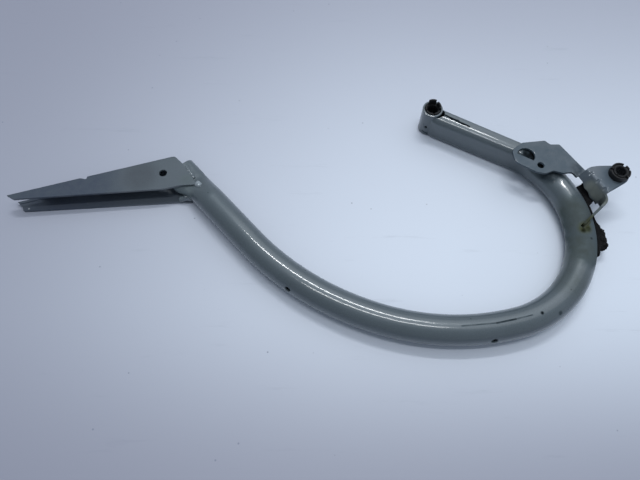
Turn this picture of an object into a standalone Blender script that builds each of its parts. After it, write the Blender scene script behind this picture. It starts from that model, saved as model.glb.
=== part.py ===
"""Trunk lid hinge arm: a bent tube between a lid channel and a pivot eye, with a welded link bracket.

The part lies flat, as on a bench: X to the right, Y away, Z up, in metres. The tube is laid out from its lid end
to the pivot eye, and every other piece takes its place from the tube, the eye or the link lug.
"""

from math import acos, asin, atan2, cos, pi, radians, sin, sqrt

import bmesh
import bpy
from mathutils import Vector

GAP = 0.0003  # clearance kept between neighbouring pieces
SHEET_TOLERANCE = 0.001  # how far a cutter reaches past the face that it cuts
INSET = 0.0001  # keeps the faces of two joined shapes out of one plane

# The tube, from the lid end to the eye.
TUBE_DIAMETER = 0.025
TUBE_WALL = 0.002
LID_HEADING = radians(-47.7)  # direction in which the tube leaves the lid channel
LID_STRAIGHT = 0.1023
GENTLE_BEND = (0.244, radians(30.8))  # centre line radius and angle
MIDDLE_BEND = (0.2047, radians(31.3))
HOOK_BEND = (0.0875, radians(136.3))
ARM_LENGTH = 0.0857  # from the end of the hook bend to the pivot axis
DRAIN_HOLE = 0.0052
DRAIN_HOLES_AT = (0.1556, 0.3202)  # along the centre line, on the outer side of the bends
DRAIN_HOLE_TILT = radians(17)  # up from level

# Lid end of the tube, squashed to fit between the channel's flanges.
SQUASH_WIDTH = 0.0308
SQUASH_SHIFT = -0.0025  # the squashed end bulges to the near side
SQUASH_LENGTH = 0.02
SQUASH_BLEND = 0.03
BULGE_LENGTH = 0.011
BULGE_BLEND = 0.018

# Eye end of the tube, pressed to an upright oblong.
ARM_WIDTH_EYE = 0.0162
ARM_WIDTH_HOOK = 0.0143
ARM_HEIGHT = 0.0272
ARM_CORNER = 0.0042
ARM_LIFT = 0.0004  # under side of the pressed arm above the bench
ARM_FAR_FACE = 0.0059  # far face of the arm beyond the pivot axis
ARM_FLAT_LENGTH = 0.092  # from the pivot axis
ARM_BLEND = 0.02
ARM_END = 0.0035  # end of the tube, short of the pivot axis

# Pivot eye and its bush.
SLEEVE_DIAMETER = 0.019
SLEEVE_BORE = 0.0154
SLEEVE_HEIGHT = 0.0286
POCKET_RADIUS = 0.0094  # open pocket in the arm's top beside the sleeve
POCKET_SHIFT = 0.0031
POCKET_DEPTH = 0.0035
PIVOT_PIN_BORE = 0.0102
CROWN_HEIGHT = 0.0052
CROWN_STUB = 0.0011
CROWN_FINGERS = 5
CROWN_TURN = radians(-17)  # bearing of the first slot
CROWN_FULL = (0, 1)  # fingers that are still whole
CROWN_SLOT = 0.0017
CROWN_WALL = 0.0018

# Lid channel, in its own plane: x along the web from the narrow tip, y towards the lid.
CHANNEL_HEIGHT = 0.019
CHANNEL_SHEET = 0.0022
CHANNEL_BEND = 0.0032  # outer bend radius
CHANNEL_ANGLE = radians(63.9)  # between the tube and the web
CHANNEL_LENGTH = 0.154
FLANGE_LAP = 0.0032  # from the middle of the tube's end to the end of the web
CHANNEL_TUBE_Y = 0.0114  # middle of the tube's end in front of the web
UPPER_TIP_WIDTH = 0.0072
UPPER_WIDE_WIDTH = 0.0335
LOWER_TIP_WIDTH = 0.0105
LOWER_WIDE_WIDTH = 0.0401
FLANGE_TONGUE = 0.0086  # how far the flange runs on along the tube
WEB_START = 0.025
FLANGE_HOLE = 0.0072
FLANGE_HOLE_BACK = 0.0189  # from the end of the web
FLANGE_HOLE_OUT = 0.017
NOTCH_AT = 0.0666
NOTCH_WIDTH = 0.008
NOTCH_DEPTH = 0.0045
LID_HOLE = 0.0084
LID_HOLES_IN = (0.055, 0.042)  # first from the tip, second from the other end

# Link bracket, in the arm's plane: x from the pivot axis towards the hook, y to the far side.
PLATE_SHEET = 0.0022
LUG_AXIS = (0.1704, 0.0064)  # link pivot from the lid pivot
LUG_RADIUS = 0.0093
LUG_STEP = 0.0059  # rise of the lug above the plate
LUG_SHEET = 0.0025
LUG_HOLE = 0.0146
WALL_START = (0.1442, -0.0028)
WALL_END = (0.1676, -0.0167)
WALL_BEND = 0.004
WALL_FOOT_START = 0.0246  # lower edge of the wall above the bench
WALL_FOOT_END = 0.0146
DART_RADIUS = 0.0021
DART_DEPTH = 0.0011
DARTS_AT = (0.2, 0.52, 0.84)  # share of the wall's length
FOOT_DROP = 0.0005  # upper edge of the foot below the plate's top
FOOT_FALL = 0.0022
FOOT_LOW = 0.0195
FOOT_CORNER = 0.0044  # middle of the foot's bend, beyond the wall's end
FOOT_BEND = 0.0032
FOOT_REACH = 0.0035  # beyond the tube's centre line
FOOT_BEARING = radians(63.6)  # of the tube's hook, back from its end
D_HOLE_AT = (0.0947, -0.0086)
D_HOLE_RADIUS = 0.0078
D_HOLE_FLAT = 0.0017  # flat side below the hole's centre
ROUND_HOLE = 0.006
ROUND_HOLE_AT = (0.1096, -0.0121)
PLATE_START = 0.0812  # nearest corner of the plate to the pivot axis
PLATE_WIDTH = 0.0383
LUG_FLANK = (0.0093, 0.0102)  # corner of the lug from the wall's start

# Link bush.
LINK_BODY = 0.014
LINK_BORE = 0.0088
LINK_COLLAR = 0.0168
LINK_COLLAR_HEIGHT = 0.0052
LINK_TAIL = 0.0062  # below the lug
LINK_LIP = 0.0158
LINK_LIP_HEIGHT = 0.0016
LINK_NOTCH = 0.0019
LINK_NOTCH_DEPTH = 0.0024
LINK_NOTCHES_AT = (radians(50), radians(-62), radians(165))

# Foam on the outer side of the hook, by its bearing back from the hook's end.
FOAM_START = radians(39.4)
FOAM_END = radians(76)
FOAM_SKIN = 0.0024
FOAM_WEDGE = 0.0032  # thicker where it is pinched under the bracket's wall
FOAM_LUMP = 0.0092
FOAM_LIFT = 0.0008  # its lowest skin above the bench

# Weld beads.
EDGE_WELD_WIDTH = 0.0032
EDGE_WELD_HEIGHT = 0.0032
EDGE_WELD_SHARES = (0.2, 0.66)  # from and to, along the upper flange's end edge
CORNER_WELD_WIDTH = 0.0054
CORNER_WELD_HEIGHT = 0.0062
CORNER_WELD_SHARES = (0.82, 1.08)
LOWER_WELD = ((-0.0088, -0.0385), (0.0032, -0.0425))  # ends, in the channel's plane, from the end of the web
LOWER_WELD_WIDTH = 0.0072
LOWER_WELD_HEIGHT = 0.0046
FOOT_WELD_WIDTH = 0.0028
FOOT_WELD_LENGTH = 0.009

RING_PER_CORNER = 6
BENCH = 0.0


def smooth_step(value):
    value = min(max(value, 0.0), 1.0)
    return value * value * (3 - 2 * value)


def mix(first, second, share):
    return first + (second - first) * share


# Centre line of the tube.
SEGMENTS = (
    (LID_STRAIGHT, 0.0),
    (GENTLE_BEND[0] * GENTLE_BEND[1], 1 / GENTLE_BEND[0]),
    (MIDDLE_BEND[0] * MIDDLE_BEND[1], 1 / MIDDLE_BEND[0]),
    (HOOK_BEND[0] * HOOK_BEND[1], 1 / HOOK_BEND[0]),
    (ARM_LENGTH, 0.0),
)
TUBE_LENGTH = sum(length for length, _ in SEGMENTS)


def on_centre_line(along):
    """Position and heading at a length along the centre line, from the lid end."""
    place = Vector((0.0, 0.0))
    heading = LID_HEADING
    left = along
    for number, (length, curve) in enumerate(SEGMENTS):
        last = number == len(SEGMENTS) - 1
        step = left if last else min(left, length)
        if curve:
            turned = heading + step * curve
            place += Vector((sin(turned) - sin(heading), cos(heading) - cos(turned))) / curve
            heading = turned
        else:
            place += Vector((cos(heading), sin(heading))) * step
        left -= step
        if left <= 0:
            break
    return place, heading


EYE, EYE_HEADING = on_centre_line(TUBE_LENGTH)
ARM_AXIS = -Vector((cos(EYE_HEADING), sin(EYE_HEADING)))
ARM_SIDE = Vector((-ARM_AXIS.y, ARM_AXIS.x))


def from_eye(along, across):
    """A point of the arm's plane: along from the pivot axis towards the hook, across to the far side."""
    return EYE + ARM_AXIS * along + ARM_SIDE * across


HOOK_CENTRE = from_eye(ARM_LENGTH, -HOOK_BEND[0])


def on_hook(radius, bearing):
    """A point by its distance from the hook's centre and its bearing back from the hook's end."""
    return HOOK_CENTRE + (ARM_AXIS * sin(bearing) + ARM_SIDE * cos(bearing)) * radius


CHANNEL_HEADING = LID_HEADING + CHANNEL_ANGLE
WEB_AXIS = Vector((cos(CHANNEL_HEADING), sin(CHANNEL_HEADING)))
WEB_SIDE = Vector((-WEB_AXIS.y, WEB_AXIS.x))
CHANNEL_ORIGIN = -WEB_AXIS * (CHANNEL_LENGTH - FLANGE_LAP) + WEB_SIDE * CHANNEL_TUBE_Y


def from_tip(along, across):
    """A point of the channel's plane: along the web from its tip, across towards the lid."""
    return CHANNEL_ORIGIN + WEB_AXIS * along + WEB_SIDE * across


# Shapes.
def new_object(name, mesh, finish=None):
    item = bpy.data.objects.new(name, mesh)
    bpy.context.scene.collection.objects.link(item)
    item.parent = FRAME
    if finish:
        mesh.materials.append(finish)
        mesh.shade_smooth()
        mesh.set_sharp_from_angle(angle=radians(35))
    else:
        item.hide_render = True
        item.display_type = "WIRE"
    return item


def mesh_of(name, points, faces):
    mesh = bpy.data.meshes.new(name)
    mesh.from_pydata(points, [], faces)
    work = bmesh.new()
    work.from_mesh(mesh)
    bmesh.ops.recalc_face_normals(work, faces=work.faces)
    work.to_mesh(mesh)
    work.free()
    return mesh


def loft(name, rings):
    """A closed mesh through rings of equal numbers of points, with flat ends."""
    count = len(rings[0])
    points = [point for ring in rings for point in ring]
    faces = [tuple(range(count)), tuple(range(len(points) - count, len(points)))]
    for number in range(len(rings) - 1):
        start = number * count
        for i in range(count):
            j = (i + 1) % count
            faces.append((start + i, start + j, start + count + j, start + count + i))
    return mesh_of(name, points, faces)


def pipe(name, outer, inner):
    """A closed mesh between an outer and an inner skin, open at both ends."""
    count = len(outer[0])
    rings = list(outer) + list(reversed(inner))
    points = [point for ring in rings for point in ring]
    faces = []
    for number in range(len(rings)):
        start = number * count
        after = (number + 1) % len(rings) * count
        for i in range(count):
            j = (i + 1) % count
            faces.append((start + i, start + j, after + j, after + i))
    return mesh_of(name, points, faces)


def upright(name, outline, low, high):
    """A prism standing on an outline."""
    return loft(name, [[(p[0], p[1], z) for p in outline] for z in (low, high)])


def circle(centre, radius, count=32, start=0.0):
    turn = 2 * pi / count
    angles = [start + i * turn for i in range(count)]
    return [Vector((centre[0] + radius * cos(a), centre[1] + radius * sin(a))) for a in angles]


def rounded(corners, steps=4):
    """An outline whose corners (x, y, radius) are rounded."""
    outline = []
    for number, (x, y, radius) in enumerate(corners):
        here = Vector((x, y))
        if not radius:
            outline.append(here)
            continue
        before = (Vector(corners[number - 1][:2]) - here).normalized()
        after = (Vector(corners[(number + 1) % len(corners)][:2]) - here).normalized()
        half = before.angle(after) / 2
        middle = here + (before + after).normalized() * radius / sin(half)
        first = here + before * radius / (sin(half) / cos(half)) - middle
        sweep = first.angle_signed(here + after * radius / (sin(half) / cos(half)) - middle)
        for i in range(steps + 1):
            turned = -sweep * i / steps
            outline.append(
                middle
                + Vector(
                    (
                        first.x * cos(turned) - first.y * sin(turned),
                        first.x * sin(turned) + first.y * cos(turned),
                    )
                )
            )
    return outline


def cut(item, cutter, operation="DIFFERENCE"):
    step = item.modifiers.new(cutter.name, "BOOLEAN")
    step.operation = operation
    step.object = cutter
    step.solver = "EXACT"


def cutter_of(name, mesh):
    return new_object(name, mesh)


def drill(item, name, centre, diameter, low, high):
    cut(item, cutter_of(name, upright(name, circle(centre, diameter / 2, 24), low, high)))


def finish_of(name, colour, roughness, metallic):
    finish = bpy.data.materials.new(name)
    finish.use_nodes = True
    shader = finish.node_tree.nodes["Principled BSDF"]
    shader.inputs["Base Color"].default_value = (*colour, 1)
    shader.inputs["Roughness"].default_value = roughness
    shader.inputs["Metallic"].default_value = metallic
    return finish


# Gooseneck tube.
def tube_section(along):
    """Width, height, corner radius, side shift and mid height of the tube at a length along it."""
    round_part = (TUBE_DIAMETER, TUBE_DIAMETER, TUBE_DIAMETER / 2, 0.0, BENCH + TUBE_DIAMETER / 2)
    squash_height = CHANNEL_HEIGHT - 2 * CHANNEL_SHEET - 2 * GAP
    squashed = (SQUASH_WIDTH, squash_height, squash_height / 2, SQUASH_SHIFT, BENCH + CHANNEL_HEIGHT / 2)
    to_eye = TUBE_LENGTH - along
    width = mix(ARM_WIDTH_EYE, ARM_WIDTH_HOOK, min(to_eye / ARM_FLAT_LENGTH, 1))
    # The centre line runs towards the eye, so the far side of the arm is on its right.
    shift = width / 2 - ARM_FAR_FACE
    pressed = (width, ARM_HEIGHT, ARM_CORNER, shift, BENCH + ARM_LIFT + ARM_HEIGHT / 2)
    flat = 1 - smooth_step((along - SQUASH_LENGTH) / SQUASH_BLEND)
    bulge = 1 - smooth_step((along - BULGE_LENGTH) / BULGE_BLEND)
    at_eye = 1 - smooth_step((to_eye - ARM_FLAT_LENGTH) / ARM_BLEND)
    at_lid = (bulge, flat, flat, bulge, flat)
    section = [mix(a, b, share) for a, b, share in zip(round_part, squashed, at_lid)]
    return [mix(a, b, at_eye) for a, b in zip(section, pressed)]


def tube_ring(along, grown=0.0):
    width, height, corner, shift, middle = tube_section(along)
    place, heading = on_centre_line(along)
    left = Vector((-sin(heading), cos(heading)))
    corner = max(corner + grown, 0.0008)
    half_width = width / 2 + grown - corner
    half_height = height / 2 + grown - corner
    ring = []
    for quarter, (side, up) in enumerate(((1, 1), (-1, 1), (-1, -1), (1, -1))):
        for i in range(RING_PER_CORNER):
            angle = (quarter + (i + 0.5) / RING_PER_CORNER) * pi / 2
            across = shift + side * half_width + corner * cos(angle)
            flat = place + left * across
            ring.append((flat.x, flat.y, middle + up * half_height + corner * sin(angle)))
    return ring


def tube_stations():
    """Lengths along the tube at which its section is set, close together where it bends or blends."""
    blend_end = SQUASH_LENGTH + SQUASH_BLEND
    stations = [0.0]
    stations += [BULGE_LENGTH + (blend_end - BULGE_LENGTH) * i / 10 for i in range(11)]
    along = LID_STRAIGHT
    for bend, steps in ((GENTLE_BEND, 12), (MIDDLE_BEND, 10), (HOOK_BEND, 24)):
        length = bend[0] * bend[1]
        stations += [along + length * i / steps for i in range(steps)]
        along += length
    blend_start = TUBE_LENGTH - ARM_FLAT_LENGTH - ARM_BLEND
    stations = [s for s in stations if s < blend_start - 0.003 and (s <= blend_end or s > blend_end + 0.003)]
    stations += [blend_start + ARM_BLEND * i / 6 for i in range(7)]
    stations += [mix(TUBE_LENGTH - ARM_FLAT_LENGTH, TUBE_LENGTH - ARM_END, i / 6) for i in range(1, 7)]
    return stations


def make_tube(finish):
    outer = [tube_ring(s) for s in tube_stations()]
    inner = [tube_ring(s, -TUBE_WALL) for s in tube_stations()]
    tube = new_object("gooseneck_tube", pipe("gooseneck_tube", outer, inner), finish)
    cutter_of("tube_clearance", loft("tube_clearance", [tube_ring(s, GAP) for s in tube_stations()]))
    top = ARM_LIFT + ARM_HEIGHT
    seat = circle(EYE, SLEEVE_DIAMETER / 2 + GAP, 40)
    cut(tube, cutter_of("sleeve_seat", upright("sleeve_seat", seat, -SHEET_TOLERANCE, top + SHEET_TOLERANCE)))
    pocket = circle(from_eye(POCKET_SHIFT, -0.0008), POCKET_RADIUS, 32)
    low = top - POCKET_DEPTH
    cut(tube, cutter_of("pocket", upright("pocket", pocket, low, top + SHEET_TOLERANCE)))
    for number, along in enumerate(DRAIN_HOLES_AT, 1):
        cut(tube, cutter_of(f"drain_hole_{number}", drain_hole(along)))
    return tube


def drain_hole(along):
    """A short rod through the outer wall only, square to the tube's skin."""
    place, heading = on_centre_line(along)
    outward = Vector((sin(heading), -cos(heading), 0)) * cos(DRAIN_HOLE_TILT)
    outward.z = sin(DRAIN_HOLE_TILT)
    centre = Vector((place.x, place.y, BENCH + TUBE_DIAMETER / 2))
    side = Vector((cos(heading), sin(heading), 0))
    over = outward.cross(side)
    rings = []
    for reach in (TUBE_DIAMETER / 2 - 2 * TUBE_WALL, TUBE_DIAMETER / 2 + TUBE_WALL):
        ring = []
        for i in range(12):
            angle = 2 * pi * i / 12
            spoke = (side * cos(angle) + over * sin(angle)) * DRAIN_HOLE / 2
            ring.append(centre + outward * reach + spoke)
        rings.append(ring)
    return loft("drain_hole", rings)


# Pivot eye.
def make_sleeve(finish):
    outer = [[(*p, z) for p in circle(EYE, SLEEVE_DIAMETER / 2, 40)] for z in (BENCH, SLEEVE_HEIGHT)]
    inner = [[(*p, z) for p in circle(EYE, SLEEVE_BORE / 2, 40)] for z in (BENCH, SLEEVE_HEIGHT)]
    return new_object("pivot_sleeve", pipe("pivot_sleeve", outer, inner), finish)


def turned(name, profile, count=40):
    """A ring turned about the Z axis from a closed profile of (radius, height)."""
    points = []
    for i in range(count):
        angle = 2 * pi * i / count
        points += [(r * cos(angle), r * sin(angle), z) for r, z in profile]
    size = len(profile)
    faces = []
    for i in range(count):
        start = i * size
        after = (i + 1) % count * size
        for k in range(size):
            m = (k + 1) % size
            faces.append((start + k, after + k, after + m, start + m))
    return mesh_of(name, points, faces)


def box(name, centre, half, turn=0.0):
    """A block of half sizes about a centre, turned about Z."""
    corners = []
    for sx, sy in ((-1, -1), (1, -1), (1, 1), (-1, 1)):
        x, y = sx * half[0], sy * half[1]
        corners.append((centre[0] + x * cos(turn) - y * sin(turn), centre[1] + x * sin(turn) + y * cos(turn)))
    return upright(name, corners, centre[2] - half[2], centre[2] + half[2])


def make_pivot_bush(finish):
    """A thin plastic liner with a crown of snap fingers that stands above the sleeve."""
    outer = SLEEVE_BORE / 2 - GAP
    bore = PIVOT_PIN_BORE / 2
    crown_inner = outer - CROWN_WALL
    foot = BENCH + 2 * GAP
    stub = SLEEVE_HEIGHT + CROWN_STUB
    profile = [(bore, foot), (outer, foot), (outer, stub), (crown_inner, stub)]
    profile += [(crown_inner, SLEEVE_HEIGHT - CROWN_STUB), (bore, SLEEVE_HEIGHT - CROWN_STUB)]
    bush = new_object("pivot_bush", turned("pivot_bush", profile), finish)
    bush.location = (*EYE, 0)
    top = SLEEVE_HEIGHT + CROWN_HEIGHT
    share = 2 * pi / CROWN_FINGERS
    for number in range(CROWN_FINGERS):
        slot = CROWN_TURN + number * share
        start = slot + CROWN_SLOT / 2 / outer
        end = slot + share - CROWN_SLOT / 2 / outer
        if number in CROWN_FULL:
            finger = finger_mesh(start, end, crown_inner, outer, stub - 2 * GAP, top)
            name = f"crown_finger_{number}"
            item = cutter_of(name, finger)
            item.location = bush.location
            cut(bush, item, "UNION")
        middle = (outer - CROWN_WALL / 2) * Vector((cos(slot), sin(slot)))
        half = (CROWN_WALL, CROWN_SLOT / 2, CROWN_HEIGHT)
        item = cutter_of(f"crown_slot_{number}", box("crown_slot", (*middle, stub + half[2] - CROWN_STUB), half, slot))
        item.location = bush.location
        cut(bush, item)
    return bush


def finger_mesh(start, end, inner, outer, low, high, steps=6):
    """A curved block between two angles and two radii."""
    angles = [mix(start, end, i / steps) for i in range(steps + 1)]
    outline = [(outer * cos(a), outer * sin(a)) for a in angles]
    outline += [(inner * cos(a), inner * sin(a)) for a in reversed(angles)]
    return upright("finger", outline, low, high)


# Lid channel.
def channel_profile():
    """The U section: y from the web's outer face towards the open side, z up."""
    high = CHANNEL_HEIGHT
    bend = CHANNEL_BEND
    inner = bend - CHANNEL_SHEET
    open_side = -(LOWER_WIDE_WIDTH + 0.002)
    steps = [i * pi / 2 / 4 for i in range(5)]
    outline = [(open_side, 0.0)]
    outline += [(-bend + bend * sin(a), bend - bend * cos(a)) for a in steps]
    outline += [(-bend + bend * cos(a), high - bend + bend * sin(a)) for a in steps]
    outline += [(open_side, high), (open_side, high - CHANNEL_SHEET)]
    outline += [(-bend + inner * sin(a), high - bend + inner * cos(a)) for a in steps]
    outline += [(-bend + inner * cos(a), bend - inner * sin(a)) for a in steps]
    outline += [(open_side, CHANNEL_SHEET)]
    return outline


# The upper flange's end edge, which is welded along the crest of the tube.
FLANGE_EDGE = (
    (CHANNEL_LENGTH, -CHANNEL_TUBE_Y - 0.0006),
    (CHANNEL_LENGTH + FLANGE_TONGUE, -UPPER_WIDE_WIDTH - 0.004),
)


def make_channel(finish):
    rings = []
    for along in (-0.003, CHANNEL_LENGTH + FLANGE_TONGUE + 0.002):
        rings.append([(*from_tip(along, y), z) for y, z in channel_profile()])
    channel = new_object("lid_channel", loft("lid_channel", rings), finish)
    back = SHEET_TOLERANCE
    length = CHANNEL_LENGTH
    upper = rounded(
        [
            (-0.0015, back, 0),
            (-0.0015, -0.0022, 0.001),
            (0.0035, -UPPER_TIP_WIDTH, 0.0025),
            (length - 0.021, -UPPER_WIDE_WIDTH, 0.006),
            (length - 0.0068, -UPPER_WIDE_WIDTH - 0.0004, 0.01),
            (*FLANGE_EDGE[1], 0.0015),
            (*FLANGE_EDGE[0], 0.003),
            (length - 0.0055, -0.0022, 0.004),
            (length - 0.012, back, 0),
        ]
    )
    lower = rounded(
        [
            (-0.0005, back, 0),
            (0.0035, -0.0052, 0.001),
            (0.0045, -LOWER_TIP_WIDTH, 0.0015),
            (length - 0.0147, -LOWER_WIDE_WIDTH, 0.01),
            (length + 0.0025, -LOWER_WIDE_WIDTH - 0.0048, 0.004),
            (length + 0.002, -CHANNEL_TUBE_Y - 0.006, 0.006),
            (length - 0.006, back, 0),
        ]
    )
    middle = CHANNEL_HEIGHT / 2
    high = CHANNEL_HEIGHT + SHEET_TOLERANCE
    outline = cutter_of("channel_upper", upright("channel_upper", [from_tip(*p) for p in upper], middle, high))
    below = upright("channel_lower", [from_tip(*p) for p in lower], -SHEET_TOLERANCE, middle + GAP)
    cut(outline, cutter_of("channel_lower", below), "UNION")
    cut(channel, outline, "INTERSECT")
    cut(channel, bpy.data.objects["tube_clearance"])
    drill(channel, "flange_hole", from_tip(length - FLANGE_HOLE_BACK, -FLANGE_HOLE_OUT), FLANGE_HOLE, middle, high)
    notch = [
        (NOTCH_AT - NOTCH_WIDTH / 2, back),
        (NOTCH_AT, -NOTCH_DEPTH),
        (NOTCH_AT + NOTCH_WIDTH * 0.3, -NOTCH_DEPTH),
        (NOTCH_AT + NOTCH_WIDTH / 2, back),
    ]
    notch = upright("relief_notch", [from_tip(*p) for p in notch], middle + CHANNEL_BEND, high)
    cut(channel, cutter_of("relief_notch", notch))
    cut(channel, cutter_of("web_end", web_window()))
    for number, along in enumerate((LID_HOLES_IN[0], length - LID_HOLES_IN[1]), 1):
        cut(channel, cutter_of(f"lid_hole_{number}", lid_hole(along)))
    return channel


def web_window():
    """The open end of the web near the tip, with a rounded end, cut square through the web."""
    radius = (CHANNEL_HEIGHT - 2 * CHANNEL_BEND) / 2
    middle = CHANNEL_HEIGHT / 2
    outline = [(-0.006, middle + radius), (-0.006, middle - radius)]
    for i in range(9):
        angle = -pi / 2 + pi * i / 8
        outline.append((WEB_START - radius + radius * cos(angle), middle + radius * sin(angle)))
    rings = []
    for across in (-CHANNEL_BEND - SHEET_TOLERANCE, SHEET_TOLERANCE):
        rings.append([(*from_tip(x, across), z) for x, z in outline])
    return loft("web_end", rings)


def lid_hole(along):
    rings = []
    for across in (-CHANNEL_SHEET - SHEET_TOLERANCE, SHEET_TOLERANCE):
        ring = []
        for x, z in circle((along, CHANNEL_HEIGHT / 2), LID_HOLE / 2, 24):
            ring.append((*from_tip(x, across), z))
        rings.append(ring)
    return loft("lid_hole", rings)


# Link bracket.
PLATE_LOW = BENCH + ARM_LIFT + ARM_HEIGHT + GAP
PLATE_TOP = PLATE_LOW + PLATE_SHEET
LUG_TOP = PLATE_TOP + LUG_STEP
WALL_AXIS = (Vector(WALL_END) - Vector(WALL_START)).normalized()
WALL_OUT = Vector((-WALL_AXIS.y, WALL_AXIS.x))


def tangent_end(start, centre, radius, end, steps=12):
    """From a point round a circle's far side to another point, along both tangents, clockwise."""
    outline = [Vector(start)]
    angles = []
    for point, side in ((start, -1), (end, 1)):
        offset = Vector(point) - Vector(centre)
        angles.append(atan2(offset.y, offset.x) + side * acos(radius / offset.length))
    first, last = angles
    while last > first:
        last -= 2 * pi
    for i in range(steps + 1):
        angle = mix(first, last, i / steps)
        outline.append(Vector(centre) + radius * Vector((cos(angle), sin(angle))))
    outline.append(Vector(end))
    return outline


def plate_outline():
    neck_far = Vector(WALL_START) + WALL_OUT * 0.0048
    neck_near = Vector(WALL_START) - WALL_OUT * 0.0066 + WALL_AXIS * 0.0004
    length = WALL_START[0] - PLATE_START
    corners = [
        (PLATE_START + 0.0921 * length, 0.0836 * PLATE_WIDTH, 0.003),
        (PLATE_START + 0.3603 * length, 0.3995 * PLATE_WIDTH, 0.002),
        (PLATE_START + 0.4508 * length, 0.3551 * PLATE_WIDTH, 0.003),
        (PLATE_START + 0.5651 * length, 0.4621 * PLATE_WIDTH, 0.002),
        (neck_far.x, neck_far.y, 0),
        (neck_near.x, neck_near.y, 0),
        (PLATE_START + 0.8778 * length, -0.1462 * PLATE_WIDTH, 0.003),
        (PLATE_START + 0.7714 * length, -0.2715 * PLATE_WIDTH, 0.004),
        (PLATE_START + 0.6381 * length, -0.3185 * PLATE_WIDTH, 0.004),
        (PLATE_START + 0.5603 * length, -0.483 * PLATE_WIDTH, 0.005),
        (PLATE_START + 0.4413 * length, -0.5379 * PLATE_WIDTH, 0.006),
        (PLATE_START + 0.1159 * length, -0.5117 * PLATE_WIDTH, 0.0065),
        (PLATE_START + 0 * length, -0.235 * PLATE_WIDTH, 0.007),
    ]
    return rounded(corners)


def wall_section(foot):
    """The wall and its bend into the lug: out from the wall's near face, z up."""
    bend = WALL_BEND
    inner = bend - LUG_SHEET
    steps = [i * pi / 2 / 5 for i in range(6)]
    outline = [(0.0, foot)]
    outline += [(bend - bend * cos(a), LUG_TOP - bend + bend * sin(a)) for a in steps]
    outline += [(bend + 0.001, LUG_TOP), (bend + 0.001, LUG_TOP - LUG_SHEET)]
    outline += [(bend - inner * sin(a), LUG_TOP - bend + inner * cos(a)) for a in steps]
    outline += [(LUG_SHEET, foot)]
    return outline


def make_bracket(finish):
    plate = upright("hinge_bracket", [from_eye(*p) for p in plate_outline()], PLATE_LOW, PLATE_TOP)
    bracket = new_object("hinge_bracket", plate, finish)
    rings = []
    for place, foot in ((WALL_START, WALL_FOOT_START), (WALL_END, WALL_FOOT_END)):
        ring = []
        for out, z in wall_section(foot):
            ring.append((*from_eye(*(Vector(place) + WALL_OUT * out)), z))
        rings.append(ring)
    cut(bracket, cutter_of("bracket_wall", loft("bracket_wall", rings)), "UNION")
    near_start = Vector(WALL_START) + WALL_OUT * WALL_BEND
    near_end = Vector(WALL_END) + WALL_OUT * WALL_BEND
    shoulder = near_start + WALL_OUT * 0.0036 + WALL_AXIS * 0.0004
    flank = Vector(WALL_START) + Vector(LUG_FLANK)
    lug = [near_start, shoulder] + tangent_end(flank, LUG_AXIS, LUG_RADIUS, near_end)
    lug = upright("bracket_lug", [from_eye(*p) for p in lug], LUG_TOP - LUG_SHEET, LUG_TOP)
    cut(bracket, cutter_of("bracket_lug", lug), "UNION")
    cut(bracket, cutter_of("bracket_foot", foot_mesh()), "UNION")
    cut(bracket, bpy.data.objects["tube_clearance"])
    for number, share in enumerate(DARTS_AT, 1):
        cut(bracket, cutter_of(f"dart_{number}", dart_mesh(share)))
    drill(bracket, "round_hole", from_eye(*ROUND_HOLE_AT), ROUND_HOLE, PLATE_LOW - GAP, PLATE_TOP + GAP)
    drill(bracket, "lug_hole", from_eye(*LUG_AXIS), LUG_HOLE, LUG_TOP - 2 * LUG_SHEET, LUG_TOP + GAP)
    cut(bracket, cutter_of("d_hole", d_hole_mesh()))
    return bracket


def d_hole_mesh():
    """A half round hole with its flat side towards the near edge of the plate."""
    start = -asin(D_HOLE_FLAT / D_HOLE_RADIUS)
    centre = Vector(D_HOLE_AT)
    outline = []
    for i in range(15):
        angle = mix(start, pi - start, i / 14)
        outline.append(from_eye(*(centre + D_HOLE_RADIUS * Vector((cos(angle), sin(angle))))))
    return upright("d_hole", outline, PLATE_LOW - GAP, PLATE_TOP + GAP)


def dart_mesh(share):
    """A rod across the bend at half a right angle, which presses a dart into it."""
    place = Vector(WALL_START).lerp(Vector(WALL_END), share)
    reach = WALL_BEND + DART_RADIUS - DART_DEPTH
    start = Vector((WALL_BEND - reach / sqrt(2), LUG_TOP - WALL_BEND + reach / sqrt(2)))
    rings = []
    for slide in (-0.011, 0.011):
        ring = []
        for i in range(12):
            angle = 2 * pi * i / 12
            out = start.x + slide / sqrt(2) - DART_RADIUS * sin(angle) / sqrt(2)
            up = start.y + slide / sqrt(2) + DART_RADIUS * sin(angle) / sqrt(2)
            flat = place + WALL_OUT * out + WALL_AXIS * DART_RADIUS * cos(angle)
            ring.append((*from_eye(*flat), up))
        rings.append(ring)
    return loft("dart", rings)


def foot_route():
    """Centre line of the foot's sheet: on from the wall, round its bend and past the tube's top."""
    middle = WALL_OUT * LUG_SHEET / 2
    start = from_eye(*(Vector(WALL_END) - WALL_AXIS * SHEET_TOLERANCE + middle))
    corner = from_eye(*(Vector(WALL_END) + WALL_AXIS * FOOT_CORNER + middle))
    landing = on_hook(HOOK_BEND[0] - FOOT_REACH, FOOT_BEARING)
    return rounded([(*start, 0), (*corner, FOOT_BEND), (*landing, 0)])


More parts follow.
